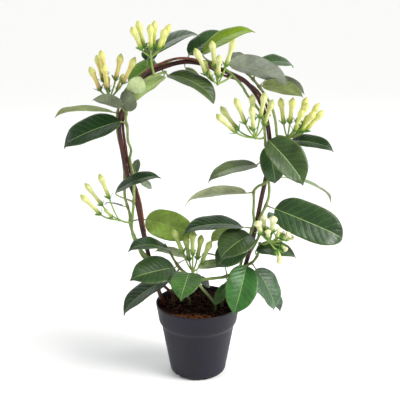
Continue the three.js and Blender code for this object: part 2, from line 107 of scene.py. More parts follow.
def add(tree, kind, inputs=None, **settings):
    """Adds a node, sets its properties and fills its inputs."""
    node = tree.nodes.new("ShaderNode" + kind)
    for name, value in settings.items():
        setattr(node, name, value)
    return feed(node, inputs or {})


def span(from_min, from_max, to_min=0.0, to_max=1.0):
    """Inputs of a Map Range node, which turns one span of values into another."""
    return {"From Min": from_min, "From Max": from_max, "To Min": to_min, "To Max": to_max}


def new_material(name):
    """An empty material with its Principled shader, which feed() then fills."""
    material = bpy.data.materials.new(name)
    material.use_nodes = True
    tree = material.node_tree
    return material, tree, tree.nodes["Principled BSDF"]


# %% Floor, sky and lamps
FLOOR_REACH = 80.0          # m, far past the view
WARM, COOL = (1.0, 0.99, 0.97), (0.97, 0.99, 1.0)


def pale_floor():
    """A matt white board that runs on far past the view, so that no edge of it shows."""
    mesh = bpy.data.meshes.new("floor")
    corners = [(x * FLOOR_REACH, y * FLOOR_REACH, 0) for x, y in ((-1, -1), (1, -1), (1, 1), (-1, 1))]
    mesh.from_pydata(corners, [], [(0, 1, 2, 3)])
    material, _, shader = new_material("matt white board")
    feed(shader, {"Base Color": rgba("#f9f9f8"), "Roughness": 1.0, "Specular IOR Level": 0.0})
    mesh.materials.append(material)
    put("floor", mesh)


def lamp(name, kind, place, spread, strength, colour, at=(0, 0, 0.28)):
    """A soft lamp at a place in metres that looks at a point. spread is the side of an area lamp in metres,
    or the angle that a far lamp fills, in radians."""
    data = bpy.data.lights.new(name, kind)
    setattr(data, "size" if kind == "AREA" else "angle", spread)
    data.energy = strength
    data.color = colour
    light = put(name, data)
    light.location = place
    light.rotation_euler = (Vector(at) - Vector(place)).to_track_quat("-Z", "Y").to_euler()


def sky(all_round, behind):
    """A pale room, brighter behind the plant, like a white wall: strength rises with the direction's Y."""
    world = bpy.data.worlds.new("studio")
    world.use_nodes = True
    tree = world.node_tree
    direction = add(tree, "TexCoord").outputs["Generated"]
    toward = add(tree, "SeparateXYZ", {"Vector": direction}).outputs["Y"]
    rise = add(tree, "MapRange", {"Value": toward, **span(0.1, 0.9, all_round, behind)},
               interpolation_type="SMOOTHSTEP")
    feed(tree.nodes["Background"], {"Color": (0.98, 0.99, 1.0, 1), "Strength": rise})
    bpy.context.scene.world = world


pale_floor()
sky(all_round=0.2, behind=1.1)
lamp("broad light right", "SUN", (2.6, -0.9, 2.6), 0.8, 2.5, WARM)
lamp("broad light left", "SUN", (-2.2, -1.2, 2.6), 0.7, 0.6, COOL)
lamp("soft box right", "AREA", (1.25, -0.5, 0.95), 0.6, 15, WARM)
lamp("soft box left", "AREA", (-1.2, -0.4, 1.0), 0.6, 4.5, COOL)
lamp("soft box behind", "AREA", (-0.3, 1.2, 1.5), 0.9, 5, COOL)
bpy.context.scene.view_settings.view_transform = "Standard"
print("lamps:", len(bpy.data.lights))

# %% [markdown]
# ## Surfaces as arrays
#
# Every piece below is worked out as a whole array of points. A *part* is a dictionary of points,
# four-cornered and three-cornered faces, and for each point a colour (*tone*), a place on the surface (*uv*)
# and a mark that is 1 on the underside of a leaf (*kind*). Parts are joined into one mesh for each piece,
# because hundreds of loose objects would be slow and would say nothing more.


# %% Parts and meshes
MM_PER_M = 1000


def unit(v):
    """Vectors divided by their own lengths."""
    return v / np.maximum(np.linalg.norm(v, axis=-1, keepdims=True), 1e-12)


def part(points, quads, tris, tone, uv=None, kind=0.0):
    """A part with all its arrays: what a caller leaves out is filled in."""
    points = np.asarray(points, float).reshape(-1, 3)
    count = len(points)
    return {
        "points": points,
        "quads": np.asarray(quads, int).reshape(-1, 4),
        "tris": np.asarray(tris, int).reshape(-1, 3),
        "tone": np.broadcast_to(np.asarray(tone, float), (count, 3)),
        "uv": np.zeros((count, 2)) if uv is None else np.asarray(uv, float).reshape(count, 2),
        "kind": np.broadcast_to(np.asarray(kind, float).reshape(-1), (count,)),
    }


def join(parts):
    """One part from several: faces are counted on from the points before them."""
    starts = np.cumsum([0] + [len(p["points"]) for p in parts[:-1]])
    merged = {key: np.concatenate([p[key] for p in parts]) for key in ("points", "tone", "uv", "kind")}
    for key in ("quads", "tris"):
        merged[key] = np.concatenate([p[key] + start for p, start in zip(parts, starts)])
    return merged


def mesh_of(name, whole):
    """A part's points and faces as a mesh in metres."""
    mesh = bpy.data.meshes.new(name)
    mesh.from_pydata(whole["points"] / MM_PER_M, [], whole["quads"].tolist() + whole["tris"].tolist())
    return mesh


def show(name, parts, material, node):
    """Makes the piece, with tone and kind as attributes and uv as its map. It rides on the plant, and stands
    in for the CAD node."""
    whole = join(parts)
    mesh = mesh_of(name, whole)
    corners = np.empty(len(mesh.loops), int)
    mesh.loops.foreach_get("vertex_index", corners)
    mesh.uv_layers.new(name="place").data.foreach_set("uv", whole["uv"][corners].ravel())
    tone = mesh.attributes.new("tone", "FLOAT_COLOR", "POINT")
    tone.data.foreach_set("color", np.column_stack([whole["tone"], np.ones(len(whole["tone"]))]).ravel())
    kind = mesh.attributes.new("kind", "FLOAT", "POINT")
    kind.data.foreach_set("value", whole["kind"].astype(np.float32))
    mesh.polygons.foreach_set("use_smooth", np.ones(len(mesh.polygons), bool))
    mesh.materials.append(material)
    mesh.update()
    piece = put(name, mesh)
    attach(piece, "root")
    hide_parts(node)
    print(f"{name}: {len(whole['quads']) * 2 + len(whole['tris'])} triangles")
    return piece


# %% Noise from waves
def ripple(points, wavelength, seed, waves=9):
    """Smooth noise between about -1 and 1: a sum of sines that run in random directions."""
    draw = np.random.default_rng(seed)
    run = unit(draw.normal(size=(waves, 3))) * (2 * np.pi / wavelength) * draw.uniform(0.6, 1.6, (waves, 1))
    return np.sin(points @ run.T + draw.uniform(0, 2 * np.pi, waves)).sum(-1) / np.sqrt(waves)


print("noise over 100 mm:", ripple(np.arange(0, 100, 20)[:, None] * [1, 0, 0], 30, seed=1).round(2))


# %% [markdown]
# ## Lines that the plant follows
#
# A stem's route is a handful of points with a smooth line through them. A centripetal Catmull-Rom line passes
# through every point and never loops between two that are close together, so it suits a stem that twines
# tightly here and runs straight there.


# %% A smooth line
STEPS = 24                  # points on each stretch of a line


class Line:
    """A centripetal Catmull-Rom line. Between two points it is the cubic whose slopes at both ends come from
    the neighbours, each weighed by the square root of its distance. It is read by the share of its length."""

    def __init__(self, points):
        p = np.asarray(points, float)
        p = np.vstack([2 * p[0] - p[1], p, 2 * p[-1] - p[-2]])
        a, b, c, d = p[:-3], p[1:-2], p[2:-1], p[3:]
        ab, bc, cd = (np.sqrt(np.linalg.norm(step, axis=1, keepdims=True)) for step in (b - a, c - b, d - c))
        start = ((b - a) / ab - (c - a) / (ab + bc) + (c - b) / bc) * bc
        end = ((c - b) / bc - (d - b) / (bc + cd) + (d - c) / cd) * bc
        t = np.linspace(0, 1, STEPS, endpoint=False)[:, None, None]
        cubic = (b + start * t + (3 * (c - b) - 2 * start - end) * t ** 2
                 + (2 * (b - c) + start + end) * t ** 3)
        self.points = np.vstack([cubic.transpose(1, 0, 2).reshape(-1, p.shape[1]), c[-1]])
        self.run = np.concatenate([[0], np.cumsum(np.linalg.norm(np.diff(self.points, axis=0), axis=1))])
        self.length = self.run[-1]

    def at(self, share):
        """Points at shares of the length, by straight steps between the computed ones."""
        run = np.asarray(share) * self.length
        return np.stack([np.interp(run, self.run, axis) for axis in self.points.T], -1)

    def ahead(self, share, nudge=1e-3):
        """The line's direction: from just behind the share to just past it."""
        share = np.clip(share, nudge, 1 - nudge)
        return unit(self.at(share + nudge) - self.at(share - nudge))

    def nearest(self, point):
        """The share at which the line comes closest to the point."""
        shares = np.linspace(0, 1, 401)
        return shares[np.argmin(np.linalg.norm(self.at(shares) - point, axis=1))]


def bezier(*corners, steps=16):
    """Points on a Bezier curve: neighbouring corners are mixed (1 - t) * a + t * b until one row is left."""
    t = np.linspace(0, 1, steps)[:, None]
    rows = [np.asarray(corner, float) * np.ones_like(t) for corner in corners]
    while len(rows) > 1:
        rows = [(1 - t) * a + t * b for a, b in zip(rows, rows[1:])]
    return rows[0]


# %% A rod along a line
def circle(side, up, around):
    """Unit circles at equal turns: cos * side + sin * up."""
    turn = (np.arange(around) * 2 * np.pi / around)[:, None]
    return np.cos(turn) * side[..., None, :] + np.sin(turn) * up[..., None, :]


def tube_faces(rings, around):
    """Faces between closed rings of points, and fans that close both ends on the two poles that follow."""
    k = np.arange(around)
    m = (k + 1) % around
    row = np.arange(rings - 1)[:, None] * around
    quads = np.stack([row + k, row + m, row + m + around, row + k + around], -1).reshape(-1, 4)
    last, low = (rings - 1) * around, np.full(around, rings * around)
    return quads, np.concatenate([np.stack([low, m, k], 1), np.stack([low + 1, last + k, last + m], 1)])


def rod(points, radius, around, tone):
    """Each ring is point + radius * (cos * side + sin * up). side and up stand square to the line, and start
    from the normal of the plane that the line lies closest to, so the rings never twist suddenly."""
    rings = len(points)
    ahead = unit(np.gradient(points, axis=0))
    plane = np.linalg.svd(points - points.mean(0), full_matrices=False)[2][2]
    side = unit(np.cross(plane, ahead))
    radius = np.broadcast_to(np.atleast_2d(np.asarray(radius, float).T).T, (rings, around))
    skin = points[:, None] + radius[..., None] * circle(side, np.cross(ahead, side), around)
    tone = np.asarray(tone, float)
    if tone.ndim == 2:
        tone = np.concatenate([np.repeat(tone, around, axis=0), tone[[0, -1]]])
    turn, along = np.meshgrid(np.arange(around) / around, np.linspace(0, 1, rings))
    uv = np.concatenate([np.stack([turn, along], -1).reshape(-1, 2), [[0, 0], [0, 1]]])
    return part(np.concatenate([skin.reshape(-1, 3), points[[0, -1]]]), *tube_faces(rings, around), tone, uv)


# %% [markdown]
# ## The hoop and how stems lie on it
#
# The hoop is one wire in a plastic sleeve, bent by hand, so its line is a little uneven. A twining stem is
# easiest to place from the hoop itself: so far along, this way round and that far off. The same numbers stand
# in the CAD source.

# %% The hoop's line
HOOP_R = 3.1                # plastic-sleeved wire
WOOD_R = 2.0                # last year's brown stem
VINE_R = 2.1                # this year's green stems
HOOP_LINE = [
    (-38, 60), (-50.5, 104), (-52.2, 110), (-56, 123), (-64, 153), (-77, 213), (-85, 257), (-95, 288),
    (-102, 327), (-105, 360), (-101, 378), (-87, 403), (-66, 427), (-43, 438), (-14, 444.5), (20, 438),
    (45, 428), (62, 419), (79, 399), (90, 373), (96, 345), (97, 322), (93, 290), (87, 257), (79, 210),
    (70, 172), (60, 135), (51.8, 110), (50.5, 104), (41, 60),
]
hoop_line = Line([(x, 0, z) for x, z in HOOP_LINE])
print("hoop line mm:", round(hoop_line.length))


VINE_OFF, WOOD_OFF = HOOP_R + VINE_R + 0.8, HOOP_R + WOOD_R + 0.6


def on(run, turn, off=VINE_OFF):
    """A point on a twining stem: run mm along the hoop from its left foot, turn degrees round it (0 outwards,
    90 at the front, 180 inwards, 270 behind) and off mm from its axis."""
    share = run / hoop_line.length
    ahead = hoop_line.ahead(share)
    outwards = np.array([-ahead[2], 0, ahead[0]])
    a = np.radians(turn)
    return tuple(hoop_line.at(share) + off * (np.cos(a) * outwards + np.sin(a) * np.array([0, -1, 0])))


# %% The stems' routes
def rooted(x, y):
    """The foot of a green stem: it stands straight in its hole in the soil."""
    return ((x, y, z) for z in (62, 104, 108))


WOOD_TURNS = [(120, 270), (160, 250), (200, 225), (240, 215), (280, 215), (315, 222), (340, 250), (365, 280),
              (390, 310), (415, 345), (435, 20), (455, 55), (473, 105), (492, 168), (513, 230), (535, 290),
              (558, 340), (580, 20)]
STEM_POINTS = {
    "wood": [(-34, 13, 62), (-36, 13, 104), (-36.3, 13, 110), on(85, 275, 7),
             *(on(run, turn, WOOD_OFF) for run, turn in WOOD_TURNS)],
    "left": [*rooted(-12, -2), (-32, 1, 130), (-51, 3, 149),
             on(100, 190, 7.5), on(112, 120, 6.8), on(124, 65, 8), on(136, 25, 11), on(158, 20, 15),
             on(183, 30, 10), on(200, 60, 7), on(222, 125, 7.5), on(243, 160, 9), on(262, 178, 8.5),
             on(273, 180, 12), on(286, 180, 10), on(305, 180, 11), on(319, 168, 8), on(336, 140, 6.5),
             on(352, 115, 6.5), on(368, 100, 7), on(384, 110, 7.5), on(398, 130, 8), on(412, 140, 8)],
    "top": [*rooted(-22, 9), (-42, 16, 130), (-64, 17, 156),
             on(118, 320, 13), on(145, 350, 12.5), on(165, 340, 17), on(183, 345, 14), on(200, 0, 14),
             on(213, 0, 13), on(229, 330, 9), on(247, 300, 6.5), on(272, 290), on(300, 300, 6.5),
             on(325, 318, 7.5), on(345, 330, 10), on(365, 320, 11), on(390, 300, 11), on(415, 280, 10),
             on(435, 275, 8), on(455, 285, 6.5), on(472, 310, 6.5), on(488, 340, 6.5)],
    "inner": [*rooted(26, 11), (45, 12, 132), on(815, 285),
             on(785, 280), on(762, 325, 6.5), on(746, 15, 7), on(735, 55), on(725, 72), on(714, 50, 6.5),
             on(703, 20, 8), on(690, 2, 9.5), on(678, 340, 8.5), on(665, 310, 6.5), on(648, 280),
             on(630, 240), on(618, 200), on(602, 160), on(588, 145), on(570, 152), on(553, 172, 9),
             on(540, 178, 10), on(526, 165, 7.5), on(512, 120), on(502, 80), on(490, 50)],
    "outer": [*rooted(34, -7), (46, -8, 130), on(815, 150, 7),
             on(790, 180, 7), on(765, 170, 6.5), on(745, 150), on(728, 135), on(716, 150, 8.5),
             on(705, 165, 9), on(695, 172, 10.5), on(685, 172, 12.5), on(677, 150, 10), on(671, 105, 7.5),
             on(663, 50, 7.5), on(652, 15, 9), on(638, 0, 11), (108, -5, 332), (105, -7, 350), (103, -6, 367),
             (98, -4, 385),
             (89, -1, 401), (80, 2, 413), (69, 5, 425), (58, 9, 435)],
    "low": [*rooted(24, -20), (17, -20, 120), (6, -20, 134),
             (-4, -19, 148), (-15, -16, 154), (-25, -12, 161), (-33, -9, 172), (-39, -9, 184),
             (-46, -10, 196)],
    "lowRight": [(-3, -19, 146), (9, -19, 147), (23, -17, 148), (36, -15, 149), (48, -13, 153),
             (58, -11, 160), (67, -10, 164), (76, -10, 169), (83, -9, 179), (85, -10, 190), (85, -12, 199)],
}

stems = {name: Line(points) for name, points in STEM_POINTS.items()}
for name, stem in stems.items():
    print("stem", name, "mm:", round(stem.length))

# %% [markdown]
# ## Hoop
#
# A steel wire in a thin extruded sleeve of soft PVC, dark maroon brown and glossy. The extrusion leaves long
# faint ripples in the gloss, and the sleeve has rubbed paler here and there. A curve with a round bevel would
# give such a rod. Rings of points are used, because their radius can vary, and every stem is made the same
# way.


# %% Sleeve of the hoop
HOOP_RINGS, HOOP_SIDES = 420, 20


def sleeve_material():
    """Soft PVC: an insulator's gloss, with slow colour changes a few centimetres long."""
    material, tree, shader = new_material("extruded PVC sleeve")
    place = add(tree, "TexCoord").outputs["Object"]
    patches = add(tree, "TexNoise", {"Vector": place, "Scale": MM_PER_M / 35, "Detail": 3.0})
    share = add(tree, "MapRange", {"Value": patches, **span(0.36, 0.72)})
    colour = add(tree, "MixRGB", {"Fac": share, "Color1": rgba("#200d0e"), "Color2": rgba("#542620")})
    ripples = add(tree, "TexNoise", {"Vector": place, "Scale": MM_PER_M / 4, "Detail": 2.0})
    bump = add(tree, "Bump", {"Height": ripples, "Strength": 0.12, "Distance": 0.0006})
    feed(shader, {"Base Color": colour, "Normal": bump, "Roughness": 0.24, "IOR": 1.43})
    return material


def hoop_piece():
    """A rod along the hoop's line, whose radius varies by a twentieth of a millimetre."""
    points = hoop_line.at(np.linspace(0, 1, HOOP_RINGS))
    sleeve = rod(points, HOOP_R + 0.05 * ripple(points, 30, seed=3), HOOP_SIDES, linear("#3a2326"))
    show("hoop_sleeve", [sleeve], sleeve_material(), "hoop")


hoop_piece()

# %% [markdown]
# ## Stems
#
# The old stem has thin reddish bark that has split into fine long flakes. The young stems are green and
# smooth, and swell into a brownish joint wherever a pair of leaves was set. The Skin modifier could swell
# them too, but it leaves no say over each ring. So the rod's radius is an array, and each joint adds a small
# bell curve to it.


# %% Stem finishes
def stem_material(name, roughness, flake, deep):
    """Living skin or bark: the stem's own tone, darker in patches of 6 mm, over flakes of a size in mm."""
    material, tree, shader = new_material(name)
    tone = add(tree, "Attribute", attribute_name="tone")
    place = add(tree, "TexCoord").outputs["Object"]
    patches = add(tree, "TexNoise", {"Vector": place, "Scale": MM_PER_M / 6, "Detail": 5.0, "Roughness": 0.6})
    share = add(tree, "MapRange", {"Value": patches, **span(0.42, 0.68, 0, deep)})
    dark = add(tree, "MixRGB", {"Fac": share, "Color1": tone, "Color2": rgba("#3b2a1c")})
    flakes = add(tree, "TexNoise", {"Vector": place, "Scale": MM_PER_M / flake, "Detail": 4.0})
    bump = add(tree, "Bump", {"Height": flakes, "Strength": 0.35, "Distance": 0.0008})
    feed(shader, {"Base Color": dark, "Normal": bump, "Roughness": roughness})
    return material


bark = stem_material("thin flaking bark", 0.62, 2.2, 0.75)
green_skin = stem_material("young green stem", 0.46, 4, 0.35)
print("stem finishes:", bark.name, "and", green_skin.name)


# %% Woody stem
FIRST_SCAR, SCARS_APART = 38, 61.0      # mm along the stem, where last year's leaves were
WOOD_STEP, VINE_STEP = 1.6, 1.8         # mm between the rings of a rod
STEM_SIDES = 12


def joints(run, places, width, height):
    """Sum of bell curves, one at each place along the run."""
    return height * np.exp(-((run[:, None] - np.asarray(places)[None]) / width) ** 2).sum(1)


def blend(one, other, share):
    """Two colours mixed, point by point: one * (1 - share) + other * share."""
    return one * (1 - share) + linear(other) * share


def woody_stem():
    """A rod that thins towards its tip, with a bell curve at each scar, uneven, in two mixed browns."""
    line = stems["wood"]
    share = np.linspace(0, 1, int(line.length / WOOD_STEP))
    points = line.at(share)
    rings = np.arange(FIRST_SCAR, line.length - 10, SCARS_APART)
    radius = WOOD_R * (1.08 - 0.28 * share) + joints(share * line.length, rings, 2.6, 0.55)
    radius = radius[:, None] + 0.10 * ripple(points, 6, seed=5)[:, None]
    tone = blend(linear("#60301f"), "#8c5440", 0.5 + 0.5 * ripple(points, 55, seed=6)[:, None])
    show("woody_stem_bark", [rod(points, radius, STEM_SIDES, tone)], bark, "woody_stem")


woody_stem()

# %% [markdown]
# ## Leaves
#
# A jasmine leaf is a leathery oval, 6 to 10 cm long. Its midrib lies in a shallow gutter above and stands
# proud below, and its tip runs out into a short drip point that hooks down. The upper side is dark and
# glossy, the underside dull and grey-green, and young leaves are a light yellow green all over.
#
# A blade could be bent by hand from a plane, but there are about fifty of them, each a different size and
# seen from a different side. So a blade is one function of two numbers: s runs from base to tip and t from
# edge to edge. The function is the CAD blade's own, with a softer outline, rolled edges and a slow wave.

# %% Leaf outline and colours
# Half-width at shares of the length, 1 at the widest: rounded base, full middle, short drip tip or blunt end.
OUTLINE = Line([(0, 0.0), (0.012, 0.16), (0.07, 0.56), (0.24, 0.91), (0.5, 1.0), (0.75, 0.80), (0.9, 0.42),
                (0.965, 0.13), (1, 0.02)])
BROAD_OUTLINE = Line([(0, 0.0), (0.012, 0.2), (0.07, 0.62), (0.22, 0.93), (0.47, 1.0), (0.75, 0.90),
                      (0.9, 0.62), (0.975, 0.3), (1, 0.04)])
BROAD_KINDS = ("broad", "blunt")
BLADE = 0.9                 # mm thick at the middle
GUTTER, RIB = 0.22, 0.75    # mm that the midrib lies below the upper side, and stands proud of the underside
TIP_DROP, HOOK = 0.055, 0.03    # how far the tip bends down and hooks, as shares of the length
ROLL, WAVE = 0.035, 0.022   # how far the edges roll down and wave, as shares of the width
SOFT_FOLD, MORE_FOLD = 1.5, 6   # mm over which the fold is rounded, and degrees that make up for that
ROWS, COLS = 54, 21
PETIOLE_R, THIN_PETIOLE_R, PETIOLE_SIDES = 1.15, 0.8, 8
SMALL_LEAF = 24             # mm of width, under which a leaf has the thin stalk
UNDER_BLADE = 5             # mm that the stalk runs on under the blade

# Upper side, underside and midrib of each kind of leaf.
LEAF_COLOURS = {
    "deep": ("#304c26", "#6c7a5c", "#86a45c"),
    "dark": ("#12300e", "#6c7a5c", "#86a45c"),
    "gloss": ("#304826", "#6c7a5c", "#9db868"),
    "broad": ("#2e4627", "#6c7a5c", "#9db868"),
    "blunt": ("#3a4d28", "#7c8a62", "#8fa460"),
    "mid": ("#3a5e28", "#7c8c5c", "#93b05e"),
    "vivid": ("#35642c", "#7a985a", "#a2c77c"),
    "fresh": ("#5f8a32", "#93ab5c", "#9ab35f"),
    "bright": ("#728f14", "#8a9c40", "#a6bc4c"),
    "light": ("#8aa848", "#93a95a", "#b0c574"),
    "young": ("#9dac78", "#9dac78", "#b9c795"),
    "pale": ("#5d7b40", "#9ea680", "#b4be92"),
    "olive": ("#3c5826", "#89965a", "#a0ad72"),
    "silver": ("#384a32", "#727c68", "#8b9a72"),
    "sage": ("#74806a", "#a0a698", "#a6ac98"),
    "worn": ("#54613e", "#a8b08a", "#a9b488"),
    "blueback": ("#3c5a3c", "#6b8070", "#86a08a"),
    "dusky": ("#3a4f2a", "#6c7a5c", "#9db868"),
    "edge": ("#14320f", "#8f9a6a", "#9db068"),
    "shadow": ("#1b3413", "#2e3a26", "#6f8a50"),
    "silverback": ("#2f4a28", "#999f91", "#a0a891"),
    "greyback": ("#2a4522", "#747c62", "#8a9670"),
}
print("kinds of leaf:", len(LEAF_COLOURS))


# %% Blade
def shell(middle, thickness, tones, uv):
    """A closed skin round a grid of points: each moves out and in along the grid's normal by the thickness on
    that side, and a rim joins both faces. tones are the upper and the lower face's. kind is 1 below."""
    rows, cols = middle.shape[:2]
    normal = unit(np.cross(np.gradient(middle, axis=1), np.gradient(middle, axis=0)))
    upper, lower = middle + normal * thickness[0][..., None], middle - normal * thickness[1][..., None]
    i, j = np.meshgrid(np.arange(rows - 1), np.arange(cols - 1), indexing="ij")
    a = (i * cols + j).ravel()
    top = np.stack([a, a + 1, a + cols + 1, a + cols], 1)
    under = rows * cols
    edge = np.concatenate([np.arange(cols - 1), np.arange(rows - 1) * cols + cols - 1,
                           (rows - 1) * cols + np.arange(cols - 1, 0, -1), np.arange(rows - 1, 0, -1) * cols])
    ahead = np.roll(edge, -1)
    rim = np.stack([ahead, edge, edge + under, ahead + under], 1)
    points = np.concatenate([upper.reshape(-1, 3), lower.reshape(-1, 3)])
    tone = np.concatenate([np.broadcast_to(t, (rows, cols, 3)).reshape(-1, 3) for t in tones])
    uv = np.stack(np.broadcast_arrays(uv[0], uv[1]), -1)
    return part(points, np.concatenate([top, top[:, ::-1] + under, rim]), [], tone, np.concatenate([uv, uv]),
                np.repeat([0, 1], under))


def leaf_axes(base, tip, face):
    """The leaf's length, and unit vectors ahead to its tip and up out of its upper side."""
    length = np.linalg.norm(tip - base)
    ahead = (tip - base) / length
    return length, ahead, unit(face - face.dot(ahead) * ahead)


def blade(base, tip, width, face, arch, fold, colours, outline, seed):
    """Middle surface: base + s * length along the leaf, + t * half-width across it. Up from that it has a bow
    4s(1-s) * arch, a trough |t| * tan(fold) and a slow wave t^2 * sin(s). Its tip and edges turn down."""
    draw = np.random.default_rng(seed)
    length, ahead, up = leaf_axes(base, tip, face)
    s = (0.5 - 0.5 * np.cos(np.pi * np.linspace(0, 1, ROWS)))[:, None]
    t = np.sign(np.linspace(-1, 1, COLS)) * np.abs(np.linspace(-1, 1, COLS)) ** 1.25
    out = t * np.maximum(np.interp(s, *outline.points.T), 0.02) * width / 2
    bow = length * (arch * 4 * s * (1 - s) - TIP_DROP * (np.clip(s - 0.8, 0, 1) / 0.2) ** 1.7)
    trough = (np.sqrt(out ** 2 + SOFT_FOLD ** 2) - SOFT_FOLD) * np.tan(np.radians(fold + MORE_FOLD))
    roll = -ROLL * width * t ** 4 * np.sin(np.pi * s)
    ups = draw.uniform(1.2, 2.2)
    phase = 2 * np.pi * (ups * s + draw.uniform()) + np.sign(t) * draw.uniform(0, 2)
    wave = WAVE * width * t ** 2 * np.sin(phase)
    hook = -HOOK * length * (np.clip(s - 0.93, 0, 1) / 0.07) ** 2
    lift = bow + hook + trough + roll + wave * np.sin(np.pi * s)
    sway = length * draw.uniform(-0.02, 0.02) * np.sin(np.pi * s)
    middle = (base + s[..., None] * (tip - base) + (out + sway)[..., None] * np.cross(ahead, up)
              + lift[..., None] * up)
    thick = BLADE / 2 * (1 - 0.6 * t ** 4) * np.ones_like(s)
    gutter = GUTTER * np.exp(-(out / 0.9) ** 2) * np.sin(np.pi * s) ** 0.5
    rib = RIB * np.exp(-(out / 0.8) ** 2) * (1 - 0.8 * s) * np.sin(np.pi * np.clip(s, 0.02, 0.98)) ** 0.3
    light = 1 + 0.16 * ripple(middle.reshape(-1, 3), 26, seed).reshape(ROWS, COLS, 1)
    edge = (np.abs(t)[None, :, None] ** 14) * 0.2
    tones = [colour * light * (1 - edge) + linear("#a8bf70") * edge * 0.6 for colour in colours[:2]]
    return shell(middle, (thick - gutter, thick + rib), tones, (t / 2 + 0.5, s))


# %% Leaf with its stalk
def root_of(row):
    """Where a leaf's stalk leaves its stem: what its row says after the kind, or else the leaf's base."""
    return np.array((row[0], *row[7:])[-1], float)


def leaf(stem, row, seed):
    """The blade, and its stalk from the stem's line to a little way under the blade, thickest at its ends."""
    base, tip, width, face, arch, fold, kind, *_ = row
    base, tip, face = (np.array(v, float) for v in (base, tip, unit(np.array(face, float))))
    colours = [linear(c) for c in LEAF_COLOURS[kind]]
    length, ahead, up = leaf_axes(base, tip, face)
    foot = stem.at(stem.nearest(root_of(row)))
    reach = np.linalg.norm(base - foot)
    s = UNDER_BLADE / length
    inside = base + UNDER_BLADE * ahead + (length * arch * 4 * s * (1 - s) - 0.5) * up
    points = bezier(foot, foot + 0.45 * (base - foot), base - 0.35 * reach * ahead - 0.5 * up, inside,
                    steps=max(8, int(reach / 2)))
    run = np.linspace(0, 1, len(points))
    thick = THIN_PETIOLE_R if width < SMALL_LEAF else PETIOLE_R
    ends = 0.45 * np.exp(-(run / 0.12) ** 2) + 0.2 * np.exp(-((run - 0.85) / 0.1) ** 2)
    tone = blend(0.5 * colours[2] + 0.5 * linear("#93ab5a"), "#73754a", 1 - run[:, None])
    outline = BROAD_OUTLINE if kind in BROAD_KINDS else OUTLINE
    return (blade(base, tip, width, face, arch, fold, colours, outline, seed),
            rod(points, thick * (1.1 - 0.5 * run + ends), PETIOLE_SIDES, tone))


# %% Leaf finish
VEIN_PAIRS, VEIN_SLANT = 9.0, 0.42


def grained(tree, grain, shade):
    """A piece's own tone, darker and lighter in irregular grains: grain is their size in mm, and the noise's
    detail and roughness. shade is the noise's span, and what its ends multiply the tone by. Returns noise and
    colour."""
    size, detail, roughness = grain
    place = add(tree, "TexCoord").outputs["Object"]
    noise = add(tree, "TexNoise", {"Vector": place, "Scale": MM_PER_M / size, "Detail": detail,
                                   "Roughness": roughness})
    shading = add(tree, "MapRange", {"Value": noise, **span(*shade)})
    tone = add(tree, "Attribute", attribute_name="tone")
    return noise, add(tree, "MixRGB", {"Fac": 1.0, "Color1": tone, "Color2": shading}, blend_type="MULTIPLY")


def leaf_material():
    """A waxed cuticle over green tissue. The upper side is glossy, the underside dull: kind is 1 there. The
    midrib is a pale line at the middle of the map. Side veins leave it at a slant, and the blade swells a
    little between them, which breaks its highlights into streaks. Below, the veins are creases, and their
    dark colour is painted shade in the creases."""
    material, tree, shader = new_material("waxy leaf blade")
    under = add(tree, "Attribute", attribute_name="kind").outputs["Fac"]
    place = add(tree, "TexCoord").outputs["Object"]
    split = add(tree, "SeparateXYZ", {"Vector": add(tree, "UVMap", uv_map="place")}).outputs
    offset = add(tree, "Math", {0: split["X"], 1: 0.5}, operation="SUBTRACT")
    apart = add(tree, "Math", {0: offset}, operation="ABSOLUTE")
    rib = add(tree, "MapRange", {"Value": apart, **span(0.003, 0.015, 1, 0)}, interpolation_type="SMOOTHSTEP")
    slant = add(tree, "Math", {0: apart, 1: -VEIN_SLANT, 2: split["Y"]}, operation="MULTIPLY_ADD")
    uneven = add(tree, "TexNoise", {"Vector": place, "Scale": MM_PER_M / 20, "Detail": 1.0})
    wavy = add(tree, "Math", {0: uneven, 1: 0.05, 2: slant}, operation="MULTIPLY_ADD")
    pairs = add(tree, "Math", {0: wavy, 1: VEIN_PAIRS}, operation="MULTIPLY")
    saw = add(tree, "Math", {0: pairs}, operation="FRACT")
    centred = add(tree, "Math", {0: saw, 1: 0.5}, operation="SUBTRACT")
    away = add(tree, "Math", {0: centred}, operation="ABSOLUTE")
    vein = add(tree, "MapRange", {"Value": away, **span(0, 0.07, 1, 0)}, interpolation_type="SMOOTHSTEP")
    grain, mottled = grained(tree, (5, 4.0, 0.6), (0.3, 0.7, 0.82, 1.14))
    drawn = add(tree, "MapRange", {"Value": under, **span(0, 1, 0.13, 0.42)})
    # Vein colour: pale green above; below, a dark colour that is painted shade in the creases.
    vein_colour_and_crease_shade = add(tree, "MixRGB", {"Fac": under, "Color1": rgba("#8fae66"), "Color2": rgba("#56604a")})
    vein_share = add(tree, "Math", {0: vein, 1: drawn}, operation="MULTIPLY")
    veined = add(tree, "MixRGB", {"Fac": vein_share, "Color1": mottled, "Color2": vein_colour_and_crease_shade})
    rib_share = add(tree, "Math", {0: rib, 1: 0.72}, operation="MULTIPLY")
    ribbed = add(tree, "MixRGB", {"Fac": rib_share, "Color1": veined, "Color2": rgba("#a8bf78")})
    dull = add(tree, "MapRange", {"Value": under, **span(0, 1, 0.33, 0.55)})
    depth = add(tree, "MapRange", {"Value": under, **span(0, 1, -0.28, -0.8)})
    relief = add(tree, "Math", {0: vein, 1: depth, 2: grain}, operation="MULTIPLY_ADD")
    quilted = add(tree, "Math", {0: away, 1: 1.2, 2: relief}, operation="MULTIPLY_ADD")
    bump = add(tree, "Bump", {"Height": quilted, "Strength": 0.5, "Distance": 0.0008})
    feed(shader, {"Base Color": ribbed, "Normal": bump, "Roughness": dull, "IOR": 1.38})
    return material


waxy_leaf = leaf_material()
print("nodes in", waxy_leaf.name + ":", len(waxy_leaf.node_tree.nodes))

